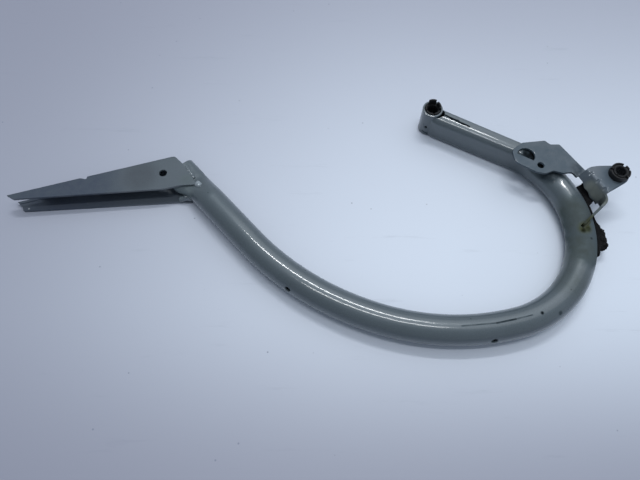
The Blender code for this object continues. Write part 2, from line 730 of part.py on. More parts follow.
def foot_mesh():
    """An upright sheet from the wall's end to just past the top of the tube, where it is welded down."""
    route = foot_route()
    bend, landing = route[-2:]
    axis = (landing - bend).normalized()
    route[-1:] = [bend + axis * 0.008, landing]
    high = PLATE_TOP - FOOT_DROP
    levels = [WALL_FOOT_END + INSET] * (len(route) - 2) + [FOOT_LOW, BENCH + TUBE_DIAMETER / 2]
    rings = []
    for number, (place, low) in enumerate(zip(route, levels)):
        before = route[max(number - 1, 0)]
        after = route[min(number + 1, len(route) - 1)]
        heading = (after - before).normalized()
        side = Vector((-heading.y, heading.x)) * (LUG_SHEET / 2 - INSET)
        top = high - FOOT_FALL * number / (len(route) - 1)
        ring = [(*(place - side), low), (*(place + side), low)]
        rings.append(ring + [(*(place + side), top), (*(place - side), top)])
    return loft("bracket_foot", rings)


def make_link_bush(finish):
    """A plastic bush: notched collar above the lug, body through it and a snap lip below."""
    bore = LINK_BORE / 2
    body = LINK_BODY / 2
    collar = LINK_COLLAR / 2
    lip = LINK_LIP / 2
    low = LUG_TOP - LUG_SHEET
    seat = LUG_TOP + GAP
    top = seat + LINK_COLLAR_HEIGHT
    tail = low - LINK_TAIL
    profile = [
        (bore, tail),
        (body, tail),
        (lip, low - GAP - LINK_LIP_HEIGHT),
        (lip, low - GAP),
        (body, low - GAP),
        (body, seat),
        (collar, seat),
        (collar, top - 0.0006),
        (collar - 0.0006, top),
        (bore + 0.0008, top),
        (bore, top - 0.0008),
    ]
    bush = new_object("link_bush", turned("link_bush", profile), finish)
    bush.location = (*from_eye(*LUG_AXIS), 0)
    for number, bearing in enumerate(LINK_NOTCHES_AT, 1):
        middle = (collar - 0.0008) * Vector((cos(bearing), sin(bearing)))
        half = (0.0022, LINK_NOTCH / 2, LINK_NOTCH_DEPTH)
        item = cutter_of(f"collar_notch_{number}", box("collar_notch", (*middle, top), half, bearing))
        item.location = bush.location
        cut(bush, item)
    return bush


# Foam strip.
def foam_ring(share):
    """One cross section of the torn foam: it follows the tube's skin inside and bulges outside."""
    bearing = mix(FOAM_START, FOAM_END, share)
    wedge = 1 - smooth_step((share - 0.06) / 0.14)
    lump = smooth_step((share - 0.55) / 0.25) * smooth_step((1.02 - share) / 0.13)
    ragged = 0.0009 * sin(share * 31) + 0.0005 * sin(share * 67 + 1)
    thick = FOAM_SKIN + wedge * FOAM_WEDGE + lump * (FOAM_LUMP + ragged)
    low = radians(mix(-38, -46, lump))
    high = radians(mix(mix(6, 30, wedge), 12, lump))
    skin = TUBE_DIAMETER / 2 + GAP
    ring = []
    for i in range(6):
        angle = mix(low, high, i / 5)
        ring.append((HOOK_BEND[0] + skin * cos(angle), BENCH + TUBE_DIAMETER / 2 + skin * sin(angle)))
    for i in range(6):
        angle = mix(high, low, i / 5)
        bulge = skin + thick * (0.55 + 0.45 * sin(pi * (i + 0.4) / 5.8))
        height = max(TUBE_DIAMETER / 2 + bulge * sin(angle), FOAM_LIFT)
        ring.append((HOOK_BEND[0] + bulge * cos(angle), BENCH + height))
    return [(*on_hook(radius, bearing), z) for radius, z in ring]


def make_foam(finish):
    rings = [foam_ring(i / 18) for i in range(19)]
    return new_object("foam_strip", loft("foam_strip", rings), finish)


# Weld beads.
def bead_mesh(name, route, width, height, lumps):
    """A rippled half-round bead along a route of points that lie on the seam, flat side down."""
    rings = []
    count = len(route)
    for number, point in enumerate(route):
        before = Vector(route[max(number - 1, 0)])
        after = Vector(route[min(number + 1, count - 1)])
        axis = (after - before).normalized()
        side = Vector((axis.y, -axis.x, 0)).normalized()
        share = number / (count - 1)
        swell = 0.45 + 0.55 * sin(pi * min(max(share, 0.04), 0.96)) ** 0.5 + 0.1 * sin(lumps * 2 * pi * share)
        ring = []
        for i in range(8):
            angle = pi * i / 7
            across = side * (width / 2 * cos(angle) * swell)
            ring.append(Vector(point) + across + Vector((0, 0, height * sin(angle) * swell)))
        rings.append(ring)
    return loft(name, rings)


def straight_route(start, end, steps):
    return [Vector(start).lerp(Vector(end), i / steps) for i in range(steps + 1)]


def make_welds(finish):
    """Beads on the outside of the seams that can be seen, each cut clear of the tube."""
    envelope = bpy.data.objects["tube_clearance"]
    on_squash = BENCH + CHANNEL_HEIGHT - CHANNEL_SHEET
    edge_start, edge_end = (Vector(p) for p in FLANGE_EDGE)
    outward = Vector((edge_start.y - edge_end.y, edge_end.x - edge_start.x)).normalized()
    beside = outward * (EDGE_WELD_WIDTH / 2 + GAP)
    first, last = (from_tip(*(edge_start.lerp(edge_end, share) + beside)) for share in EDGE_WELD_SHARES)
    route = straight_route((*first, on_squash), (*last, on_squash), 12)
    mesh = bead_mesh("flange_weld_edge", route, EDGE_WELD_WIDTH, EDGE_WELD_HEIGHT, 5)
    welds = [new_object("flange_weld_edge", mesh, finish)]
    beside = outward * (CORNER_WELD_WIDTH / 2 + GAP)
    first, last = (from_tip(*(edge_start.lerp(edge_end, share) + beside)) for share in CORNER_WELD_SHARES)
    route = straight_route((*first, on_squash), (*last, on_squash), 10)
    mesh = bead_mesh("flange_weld_corner", route, CORNER_WELD_WIDTH, CORNER_WELD_HEIGHT, 1)
    welds.append(new_object("flange_weld_corner", mesh, finish))
    first, last = (from_tip(CHANNEL_LENGTH + x, y) for x, y in LOWER_WELD)
    on_flange = BENCH + CHANNEL_SHEET + GAP
    route = straight_route((*first, on_flange), (*last, on_flange), 10)
    mesh = bead_mesh("flange_weld_lower", route, LOWER_WELD_WIDTH, LOWER_WELD_HEIGHT, 2)
    welds.append(new_object("flange_weld_lower", mesh, finish))
    bend, landing = foot_route()[-2:]
    axis = (landing - bend).normalized()
    side = Vector((-axis.y, axis.x))
    beside = side * (LUG_SHEET / 2 + GAP + FOOT_WELD_WIDTH / 2)
    level = BENCH + TUBE_DIAMETER - FOOT_WELD_WIDTH / 2
    first = landing - axis * FOOT_WELD_LENGTH + beside
    route = straight_route((*first, level), (*(landing + beside), level), 8)
    mesh = bead_mesh("foot_weld", route, FOOT_WELD_WIDTH, FOOT_WELD_WIDTH, 1)
    welds.append(new_object("foot_weld", mesh, finish))
    for weld in welds:
        cut(weld, envelope)
    return welds


def settle(nodes):
    """Moves the frame so that the origin is the middle of the part's footprint on the bench."""
    bpy.context.view_layer.update()
    graph = bpy.context.evaluated_depsgraph_get()
    low = Vector((1e9, 1e9, 1e9))
    high = -low
    for node in nodes:
        seen = node.evaluated_get(graph)
        for vertex in seen.data.vertices:
            point = seen.matrix_world @ vertex.co
            low = Vector(map(min, low, point))
            high = Vector(map(max, high, point))
    FRAME.location = (-(low.x + high.x) / 2, -(low.y + high.y) / 2, -low.z)


for old in list(bpy.data.objects):
    bpy.data.objects.remove(old)
FRAME = bpy.data.objects.new("hinge_frame", None)
bpy.context.scene.collection.objects.link(FRAME)

paint = finish_of("grey_green_paint", (0.115, 0.15, 0.17), 0.38, 0.35)
sleeve_paint = finish_of("painted_sleeve", (0.1, 0.13, 0.15), 0.4, 0.35)
weld_paint = finish_of("painted_weld", (0.13, 0.165, 0.18), 0.45, 0.35)
black_plastic = finish_of("black_plastic", (0.012, 0.013, 0.015), 0.42, 0.0)
black_foam = finish_of("black_foam", (0.01, 0.01, 0.011), 0.95, 0.0)

parts = [
    make_tube(paint),
    make_sleeve(sleeve_paint),
    make_pivot_bush(black_plastic),
    make_channel(paint),
    make_bracket(paint),
    make_link_bush(black_plastic),
    make_foam(black_foam),
]
parts += make_welds(weld_paint)
settle(parts)
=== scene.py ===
"""Trunk lid hinge arm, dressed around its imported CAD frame.

The pieces follow in the order in which the real hinge is put together: the bent tube, the eye and its bush,
the lid channel, the link bracket and its bush, the foam and the welds. Meshes are laid out in millimetres, on
the bench.
"""

from math import acos, asin, atan2, cos, exp, pi, radians, sin, sqrt

import bmesh
import bpy
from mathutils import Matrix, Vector, noise


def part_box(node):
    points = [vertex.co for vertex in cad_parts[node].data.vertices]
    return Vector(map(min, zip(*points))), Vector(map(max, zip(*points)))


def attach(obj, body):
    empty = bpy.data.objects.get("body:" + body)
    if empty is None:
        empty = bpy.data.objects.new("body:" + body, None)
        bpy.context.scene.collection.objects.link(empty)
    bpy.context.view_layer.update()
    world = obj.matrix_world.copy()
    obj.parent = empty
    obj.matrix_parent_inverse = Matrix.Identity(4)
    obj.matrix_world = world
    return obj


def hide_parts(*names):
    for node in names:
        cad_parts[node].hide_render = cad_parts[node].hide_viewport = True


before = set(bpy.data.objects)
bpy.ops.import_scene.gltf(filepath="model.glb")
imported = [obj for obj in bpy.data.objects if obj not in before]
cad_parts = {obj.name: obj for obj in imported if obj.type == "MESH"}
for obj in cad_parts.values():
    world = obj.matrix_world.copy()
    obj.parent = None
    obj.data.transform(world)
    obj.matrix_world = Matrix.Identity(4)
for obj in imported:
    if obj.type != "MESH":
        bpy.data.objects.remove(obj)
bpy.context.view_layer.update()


# Bench, lamps and camera. The hinge lies on a smooth pale bench under two long ceiling lamps, in a bright
# room. The floor is plain laminate, a little darker away from the lamps.
MM = 0.001


def linear(colour):
    """An sRGB hex colour as the linear RGBA that Blender's sockets take."""
    parts = [int(colour[i : i + 2], 16) / 255 for i in (1, 3, 5)]
    return (*[c / 12.92 if c <= 0.04045 else ((c + 0.055) / 1.055) ** 2.4 for c in parts], 1.0)


def add(tree, kind, settings=None, links=()):
    """Adds a node, sets its properties and inputs, and links each (input, node, output)."""
    made = tree.nodes.new(kind)
    for key, value in (settings or {}).items():
        if isinstance(key, str) and hasattr(made, key):
            setattr(made, key, value)
        else:
            made.inputs[key].default_value = value
    for key, source, output in links:
        tree.links.new(source.outputs[output], made.inputs[key])
    return made


BENCH_SIZE, BENCH_LEVEL = 3000.0, -0.05
# where the light falls off on the bench: axis, start and end in metres, and the share that is left
FALLS_OF_LIGHT = (("X", 0.14, -0.34, 0.17), ("Y", -0.06, -0.235, 0.12), ("Y", -0.05, 0.36, 0.2))
GRIT_CELL = 18.0


def bench_laminate():
    """Matt white melamine laminate, pressed smooth: bluish white, with painted shade to the left, in front and far
    off.
    """
    made = bpy.data.materials.new("bench_laminate")
    made.use_nodes = True
    tree = made.node_tree
    shader = tree.nodes["Principled BSDF"]
    coords = add(tree, "ShaderNodeTexCoord")
    axes = add(tree, "ShaderNodeSeparateXYZ", links=[(0, coords, "Object")])
    mottle = add(tree, "ShaderNodeTexNoise", {"Scale": 6.0, "Detail": 3.0}, [("Vector", coords, "Object")])
    lit = add(tree, "ShaderNodeMath", {"operation": "MULTIPLY_ADD", 1: 0.08, 2: 0.94}, [(0, mottle, "Fac")])
    for axis, start, end, low in FALLS_OF_LIGHT:
        span = {"interpolation_type": "SMOOTHSTEP", "From Min": start, "From Max": end, "To Min": 1.0}
        fall = add(tree, "ShaderNodeMapRange", span | {"To Max": low}, [("Value", axes, axis)])
        both = {"operation": "MULTIPLY", "use_clamp": True}
        lit = add(tree, "ShaderNodeMath", both, [(0, lit, 0), (1, fall, 0)])
    shades = {"data_type": "RGBA", 6: linear("#8D909F"), 7: linear("#CFD8E4")}
    tone = add(tree, "ShaderNodeMix", shades, [(0, lit, 0)])
    # grit on the bench: a speck in about one cell of 18 mm in three, and grey smears left by other parts
    cells = add(tree, "ShaderNodeTexVoronoi", {"Scale": 1 / (GRIT_CELL * MM)}, [("Vector", coords, "Object")])
    kept = add(tree, "ShaderNodeSeparateXYZ", links=[(0, cells, "Color")])
    chosen = add(tree, "ShaderNodeMath", {"operation": "GREATER_THAN", 1: 0.62}, [(0, kept, 0)])
    near = add(
        tree,
        "ShaderNodeMapRange",
        {"From Min": 0.02, "From Max": 0.055, "To Min": 0.7, "To Max": 0.0},
        [("Value", cells, "Distance")],
    )
    grit = add(tree, "ShaderNodeMath", {"operation": "MULTIPLY"}, [(0, chosen, 0), (1, near, 0)])
    drag = {"Rotation": (0, 0, 0.9), "Scale": (9.0, 90.0, 1.0)}
    streak = add(tree, "ShaderNodeMapping", drag, [("Vector", coords, "Object")])
    grain = {"Scale": 1.0, "Detail": 5.0, "Roughness": 0.7}
    worn = add(tree, "ShaderNodeTexNoise", grain, [("Vector", streak, 0)])
    smear = add(
        tree,
        "ShaderNodeMapRange",
        {"From Min": 0.62, "From Max": 0.8, "To Min": 0.0, "To Max": 0.22},
        [("Value", worn, "Fac")],
    )
    soil = add(tree, "ShaderNodeMath", {"operation": "MAXIMUM"}, [(0, grit, 0), (1, smear, 0)])
    dirt = {"data_type": "RGBA", 7: linear("#6F7688")}
    tone = add(tree, "ShaderNodeMix", dirt, [(0, soil, 0), (6, tone, 2)])
    tree.links.new(tone.outputs[2], shader.inputs["Base Color"])
    shader.inputs["Roughness"].default_value = 0.5
    shader.inputs["Specular IOR Level"].default_value = 0.3
    return made


bench_mesh = bpy.data.meshes.new("bench")
half = BENCH_SIZE / 2 * MM
bench_mesh.from_pydata(
    [(x * half, y * half, BENCH_LEVEL * MM) for x, y in ((-1, -1), (1, -1), (1, 1), (-1, 1))],
    [],
    [(0, 1, 2, 3)],
)
bench = bpy.data.objects.new("bench", bench_mesh)
bpy.context.scene.collection.objects.link(bench)
bench_mesh.materials.append(bench_laminate())

LAMP_HEIGHT = 1.7
for name, middle, size, power in (
    ("ceiling_lamp_far", (0.06, 0.44), (0.82, 0.11), 11.3),
    ("ceiling_lamp_near", (0.0, -0.06), (0.95, 0.11), 6.6),
    ("window_far", (0.42, 0.42), (2.0, 1.8), 7.0),
):
    lamp = bpy.data.lights.new(name, "AREA")
    lamp.shape = "RECTANGLE"
    lamp.size, lamp.size_y = size
    lamp.energy = power
    lamp.color = linear("#FCFDFF")[:3]
    hung = bpy.data.objects.new(name, lamp)
    bpy.context.scene.collection.objects.link(hung)
    hung.location = (middle[0] * LAMP_HEIGHT, middle[1] * LAMP_HEIGHT, LAMP_HEIGHT)
    hung.rotation_euler = (-hung.location).to_track_quat("-Z", "Y").to_euler()
    if name.startswith("ceiling"):
        hung.rotation_euler = (0, 0, 0)

world = bpy.data.worlds.new("room")
world.use_nodes = True
room = world.node_tree
facing = add(room, "ShaderNodeTexCoord")
axes = add(room, "ShaderNodeSeparateXYZ", links=[(0, facing, "Generated")])
side = add(
    room,
    "ShaderNodeMapRange",
    {"interpolation_type": "SMOOTHSTEP", "From Min": -0.9, "From Max": 0.9, "To Min": 0.62, "To Max": 1.0},
    [("Value", axes, "X")],
)
depth = add(
    room,
    "ShaderNodeMapRange",
    {"interpolation_type": "SMOOTHSTEP", "From Min": -0.6, "From Max": 0.6, "To Min": 0.78, "To Max": 1.0},
    [("Value", axes, "Y")],
)
share = add(room, "ShaderNodeMath", {"operation": "MULTIPLY"}, [(0, side, 0), (1, depth, 0)])
walls = add(
    room,
    "ShaderNodeMix",
    {"data_type": "RGBA", 6: linear("#20252D"), 7: linear("#C6D0DC")},
    [(0, share, 0)],
)
path = add(room, "ShaderNodeLightPath")
seen = add(
    room,
    "ShaderNodeMix",
    {"data_type": "RGBA", 7: linear("#C3CCDC")},
    [(0, path, "Is Camera Ray"), (6, walls, 2)],
)
room.links.new(seen.outputs[2], room.nodes["Background"].inputs["Color"])
room.nodes["Background"].inputs["Strength"].default_value = 0.95
bpy.context.scene.world = world

camera = bpy.data.cameras.new("camera")
camera.lens = 29.82
camera.sensor_width = 36.0
camera.clip_start = 0.01
viewer = bpy.data.objects.new("camera", camera)
bpy.context.scene.collection.objects.link(viewer)
viewer.location = (0.005294, -0.222052, 0.42515)
viewer.rotation_euler = (radians(25.7), 0, 0)
bpy.context.scene.camera = viewer
bpy.context.scene.view_settings.view_transform = "Standard"


# The gooseneck tube: welded steel tube, bent cold in three arcs, squashed at the lid end and pressed to an
# upright oblong towards the eye. Painted by dipping with the rest, after all the welding.
TUBE_WIDE = 25.0
TUBE_WALL = 2.0
EYE = sum(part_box("pivot_sleeve"), Vector()) / 2 / MM
EYE.z = 0
LID_HEADING = radians(-47.7)
ARCS = ((102.3, 0.0), (244.0, 30.8), (204.7, 31.3), (87.5, 136.3), (85.7, 0.0))  # radius or length, degrees
SQUASH_WIDE, SQUASH_TALL, SQUASH_SHIFT = 30.8, 14.0, -2.5
SQUASH_MIDDLE = 9.5
SQUASH_LONG, SQUASH_BLEND = 20.0, 30.0
BULGE_LONG, BULGE_BLEND = 11.0, 18.0
PRESSED_TALL, PRESSED_LIFT = 27.2, 0.4
PRESSED_LONG, PRESSED_BLEND = 92.0, 20.0
PRESSED_WIDE = (16.2, 14.3)  # at the eye and at the hook
PRESSED_CORNER = 3.4
ARM_FAR_FACE = 5.9  # far face of the pressed arm beyond the pivot axis
ARM_END = 3.5  # the tube stops short of the pivot axis
DRAIN_HOLES, DRAIN_WIDE = (155.6, 320.2), 5.0
DRAIN_TILT = radians(17)
SLEEVE_SEAT = 9.3  # radius of the cut in the tube's end, just inside the sleeve's outer side


def smooth_step(value):
    value = min(max(value, 0.0), 1.0)
    return value * value * (3 - 2 * value)


def mix(first, second, share):
    return first + (second - first) * share


def walk(along):
    """Place on the bench and heading at a length along the tube's centre line, from its lid end."""
    place, heading = Vector((0.0, 0.0)), LID_HEADING
    for number, (size, turn) in enumerate(ARCS):
        long = size * radians(turn) if turn else size
        step = along if number == len(ARCS) - 1 else min(along, long)
        if turn:
            after = heading + step / size
            place += Vector((sin(after) - sin(heading), cos(heading) - cos(after))) * size
            heading = after
        else:
            place += Vector((cos(heading), sin(heading))) * step
        along -= step
        if along <= 0:
            break
    return place, heading


TUBE_LONG = sum(size * radians(turn) if turn else size for size, turn in ARCS)
LID_END = EYE.xy - walk(TUBE_LONG)[0]
EYE_HEADING = walk(TUBE_LONG)[1]
ARM_AXIS = -Vector((cos(EYE_HEADING), sin(EYE_HEADING)))
ARM_FAR = Vector((-ARM_AXIS.y, ARM_AXIS.x))


def from_eye(along, across):
    """A point of the bench: along from the pivot towards the hook, across to the far side of the arm."""
    return EYE.xy + ARM_AXIS * along + ARM_FAR * across


HOOK_CENTRE = from_eye(ARCS[4][0], -ARCS[3][0])


def tube_form(along):
    """Width, height, corner radius, shift to the far side and mid height of the tube's section."""
    whole = (TUBE_WIDE, TUBE_WIDE, TUBE_WIDE / 2, 0.0, TUBE_WIDE / 2)
    squashed = (SQUASH_WIDE, SQUASH_TALL, SQUASH_TALL / 2, SQUASH_SHIFT, SQUASH_MIDDLE)
    to_eye = TUBE_LONG - along
    wide = mix(*PRESSED_WIDE, min(to_eye / PRESSED_LONG, 1))
    wide -= 1.1 * smooth_step((9.5 - to_eye) / 6)  # the end is dressed down to the sleeve
    pressed = (wide, PRESSED_TALL, PRESSED_CORNER, wide / 2 - ARM_FAR_FACE, PRESSED_LIFT + PRESSED_TALL / 2)
    flat = 1 - smooth_step((along - SQUASH_LONG) / SQUASH_BLEND)
    bulge = 1 - smooth_step((along - BULGE_LONG) / BULGE_BLEND)
    at_eye = 1 - smooth_step((to_eye - PRESSED_LONG) / PRESSED_BLEND)
    form = [mix(a, b, share) for a, b, share in zip(whole, squashed, (bulge, flat, flat, bulge, flat))]
    return [mix(a, b, at_eye) for a, b in zip(form, pressed)]


def oblong(wide, tall, corner, count):
    """Points evenly spaced round an oblong from the middle of its top, each with the way that it faces."""
    half_wide, half_tall = wide / 2 - corner, tall / 2 - corner
    arc = pi * corner / 2
    legs = [half_wide, arc, 2 * half_tall, arc, 2 * half_wide, arc, 2 * half_tall, arc, half_wide]
    middles = [(x * half_wide, y * half_tall) for x, y in ((1, 1), (1, -1), (-1, -1), (-1, 1))]
    total = sum(legs)
    ring = []
    for i in range(count):
        left = (i + 0.5) / count * total
        leg = 0
        while left > legs[leg] and leg < 8:
            left -= legs[leg]
            leg += 1
        if leg % 2:
            quarter = leg // 2
            angle = pi / 2 - quarter * pi / 2 - left / corner
            face = Vector((cos(angle), sin(angle)))
            ring.append((Vector(middles[quarter]) + face * corner, face))
        else:
            quarter = leg // 2 % 4
            face = Vector(((0, 1), (1, 0), (0, -1), (-1, 0))[quarter])
            run = Vector((face.y, -face.x))
            from_middle = left - legs[leg] / 2
            if leg in (0, 8):  # the two halves of the top
                from_middle = left if leg == 0 else left - half_wide
            reach = (half_tall if quarter % 2 == 0 else half_wide) + corner
            ring.append((face * reach + run * from_middle, face))
    return ring


def hammer(place, face, along, across, up):
    """How far the tube's skin is pushed out or in by the press and the hammer at the lid end, in mm."""
    end = 1 - smooth_step((along - 14) / 26)
    lumps = 0.45 * end * noise.noise(Vector((across * 0.16, up * 0.2, along * 0.13)) + Vector((3, 1, 7)))
    near = smooth_step((-face.x - 0.1) / 0.6)
    fold = -4.2 * near * exp(-(((up - 9.4) / 2.2) ** 2)) * smooth_step((12 - along) / 7)
    # a dent at the top of the hook, beside the plate
    from_dent = ((along - TUBE_LONG + 133.5) / 6) ** 2 + ((across - 4.5) / 6) ** 2
    dent = -0.55 * exp(-from_dent) * (up > TUBE_WIDE / 2)
    swell = 1.7 * near * exp(-(((up - 13.8) / 2.6) ** 2)) * smooth_step((14 - along) / 6)
    return lumps + fold + dent + swell


def crown(across, wide, to_eye):
    """How far the top of the pressed arm falls away towards its near side: the press left it crowned."""
    share = min(to_eye / PRESSED_LONG, 1)
    radius = mix(11.5, 14.5, share)
    slide = min(max(across + wide / 2 - mix(7.4, 6.4, share), 0), radius * 0.85)
    return radius - sqrt(radius * radius - slide * slide)


def tube_skin(stations, grown, count):
    rings = []
    for along in stations:
        wide, tall, corner, shift, middle = tube_form(along)
        flat, heading = walk(along)
        place = LID_END + flat
        left = Vector((-sin(heading), cos(heading)))
        corner = max(corner + grown, 0.9)
        pressed = 1 - smooth_step((TUBE_LONG - along - PRESSED_LONG) / PRESSED_BLEND)
        ring = []
        for point, face in oblong(wide + 2 * grown, tall + 2 * grown, corner, count):
            push = hammer(place, face, along, point.x, middle + point.y)
            point = point + face * push
            if pressed and point.y > 0:
                point.y -= pressed * crown(point.x, wide, TUBE_LONG - along) * point.y * 2 / tall
            spot = place + left * (shift + point.x)
            ring.append((spot.x, spot.y, middle + point.y))
        rings.append(ring)
    return rings


def piece(name, points, faces):
    """An object whose mesh is one closed skin, given in mm, with its faces turned outwards."""
    mesh = bpy.data.meshes.new(name)
    mesh.from_pydata([(p[0] * MM, p[1] * MM, p[2] * MM) for p in points], [], faces)
    work = bmesh.new()
    work.from_mesh(mesh)
    bmesh.ops.recalc_face_normals(work, faces=work.faces)
    work.to_mesh(mesh)
    work.free()
    item = bpy.data.objects.new(name, mesh)
    bpy.context.scene.collection.objects.link(item)
    return item


def loft(name, rings, pipe=False):
    """Skin through rings of equal numbers of points: closed by flat ends, or a pipe that runs back inside."""
    count = len(rings[0])
    points = [point for ring in rings for point in ring]
    faces = [] if pipe else [tuple(range(count)), tuple(range(len(points) - count, len(points)))]
    for number in range(len(rings) if pipe else len(rings) - 1):
        here, there = number * count, (number + 1) % len(rings) * count
        for i in range(count):
            j = (i + 1) % count
            faces.append((here + i, here + j, there + j, there + i))
    return piece(name, points, faces)


def prism(name, outline, low, high):
    return loft(name, [[(p[0], p[1], z) for p in outline] for z in (low, high)])


def circle(middle, radius, count=48):
    turns = [2 * pi * i / count for i in range(count)]
    return [Vector((middle[0] + radius * cos(a), middle[1] + radius * sin(a))) for a in turns]


def fix_shape(item):
    """Makes what the modifiers give the object's own mesh."""
    bpy.context.view_layer.update()
    shaped = bpy.data.meshes.new_from_object(item.evaluated_get(bpy.context.evaluated_depsgraph_get()))
    old = item.data
    item.modifiers.clear()
    item.data = shaped
    bpy.data.meshes.remove(old)


def carve(item, cutter, operation="DIFFERENCE"):
    """Cuts the cutter out of the item, or joins it on, and removes the cutter."""
    step = item.modifiers.new(cutter.name, "BOOLEAN")
    step.operation = operation
    step.object = cutter
    step.solver = "EXACT"
    fix_shape(item)
    bpy.data.objects.remove(cutter)


def dress(item, material, angle=35):
    """Gives the item its one finish and shades it smooth, but for its sharp edges."""
    item.data.materials.clear()
    item.data.materials.append(material)
    item.data.shade_smooth()
    item.data.set_sharp_from_angle(angle=radians(angle))


# the skin's rings lie closer together in the squashed end
FINE_LONG, FINE_STEP, COARSE_STEP, RING_POINTS = 56, 0.8, 1.7, 112
stations = [i * FINE_STEP for i in range(round(FINE_LONG / FINE_STEP))]
coarse_count = int((TUBE_LONG - FINE_LONG - ARM_END) / COARSE_STEP)
stations += [FINE_LONG + i * COARSE_STEP for i in range(coarse_count)] + [TUBE_LONG - ARM_END]
outer = tube_skin(stations, 0.0, RING_POINTS)
inner = tube_skin(stations[::3] + [stations[-1]], -TUBE_WALL, RING_POINTS)
tube = loft("painted_gooseneck_tube", outer + inner[::-1], pipe=True)
carve(tube, prism("sleeve_seat", circle(EYE, SLEEVE_SEAT), -5, 40))


def rounded(corners, steps=8):
    """An outline whose corners (x, y, radius) are rounded."""
    outline = []
    for number, (x, y, radius) in enumerate(corners):
        here = Vector((x, y))
        if not radius:
            outline.append(here)
            continue
        before = (Vector(corners[number - 1][:2]) - here).normalized()
        after = (Vector(corners[(number + 1) % len(corners)][:2]) - here).normalized()
        half_angle = before.angle(after) / 2
        middle = here + (before + after).normalized() * radius / sin(half_angle)
        reach = radius * cos(half_angle) / sin(half_angle)
        first = here + before * reach - middle
        sweep = first.angle_signed(here + after * reach - middle)
        for i in range(steps + 1):
            turn = -sweep * i / steps
            x2 = first.x * cos(turn) - first.y * sin(turn)
            y2 = first.x * sin(turn) + first.y * cos(turn)
            outline.append(middle + Vector((x2, y2)))
    return outline


# the end of the pressed tube stands open beside the sleeve, on the side of the hook
OPEN_END = ((2, 5.4, 1), (8.6, 4.6, 1.5), (11.9, 2.0, 2), (12.7, -2.2, 2), (8.3, -6.8, 1.5), (2, -5.0, 1))
carve(tube, prism("open_end", [from_eye(*p) for p in rounded(OPEN_END)], PRESSED_TALL - 6, 40))


def drain_cutter(along):
    """A punch square to the tube's outer side, flared where the paint has drawn back from the edge."""
    flat, heading = walk(along)
    out = Vector((sin(heading), -cos(heading), 0)) * cos(DRAIN_TILT)
    out.z = sin(DRAIN_TILT)
    run = Vector((cos(heading), sin(heading), 0))
    over = out.cross(run)
    middle = Vector((*(LID_END + flat), TUBE_WIDE / 2))
    rings = []
    for reach, wide in ((8.5, DRAIN_WIDE), (11.9, DRAIN_WIDE), (12.5, 5.9), (14.0, 7.4)):
        turns = [2 * pi * i / 32 for i in range(32)]
        rings.append([middle + out * reach + (run * cos(a) + over * sin(a)) * wide / 2 for a in turns])
    return loft("drain_punch", rings)


for along in DRAIN_HOLES:
    carve(tube, drain_cutter(along))


def crease_cutter():
    """The wavy crease that the press left in the top of the arm, next to the eye."""
    rings = []
    for i in range(25):
        share = i / 24
        along = mix(12.5, 39.5, share)
        across = mix(-0.6, -2.0, share) + 0.45 * sin(share * 17) + 0.25 * sin(share * 41)
        wide = 1.2 * sin(pi * min(max(share, 0.03), 0.97)) ** 0.5 * (1 + 0.45 * sin(share * 29))
        top = PRESSED_LIFT + PRESSED_TALL
        left, right, low = (from_eye(along, across + slide) for slide in (wide, -wide, 0))
        rings.append([(*left, top + 0.6), (*right, top + 0.6), (*low, top - 0.5 - 1.4 * wide)])
    return loft("crease", rings)


carve(tube, crease_cutter())


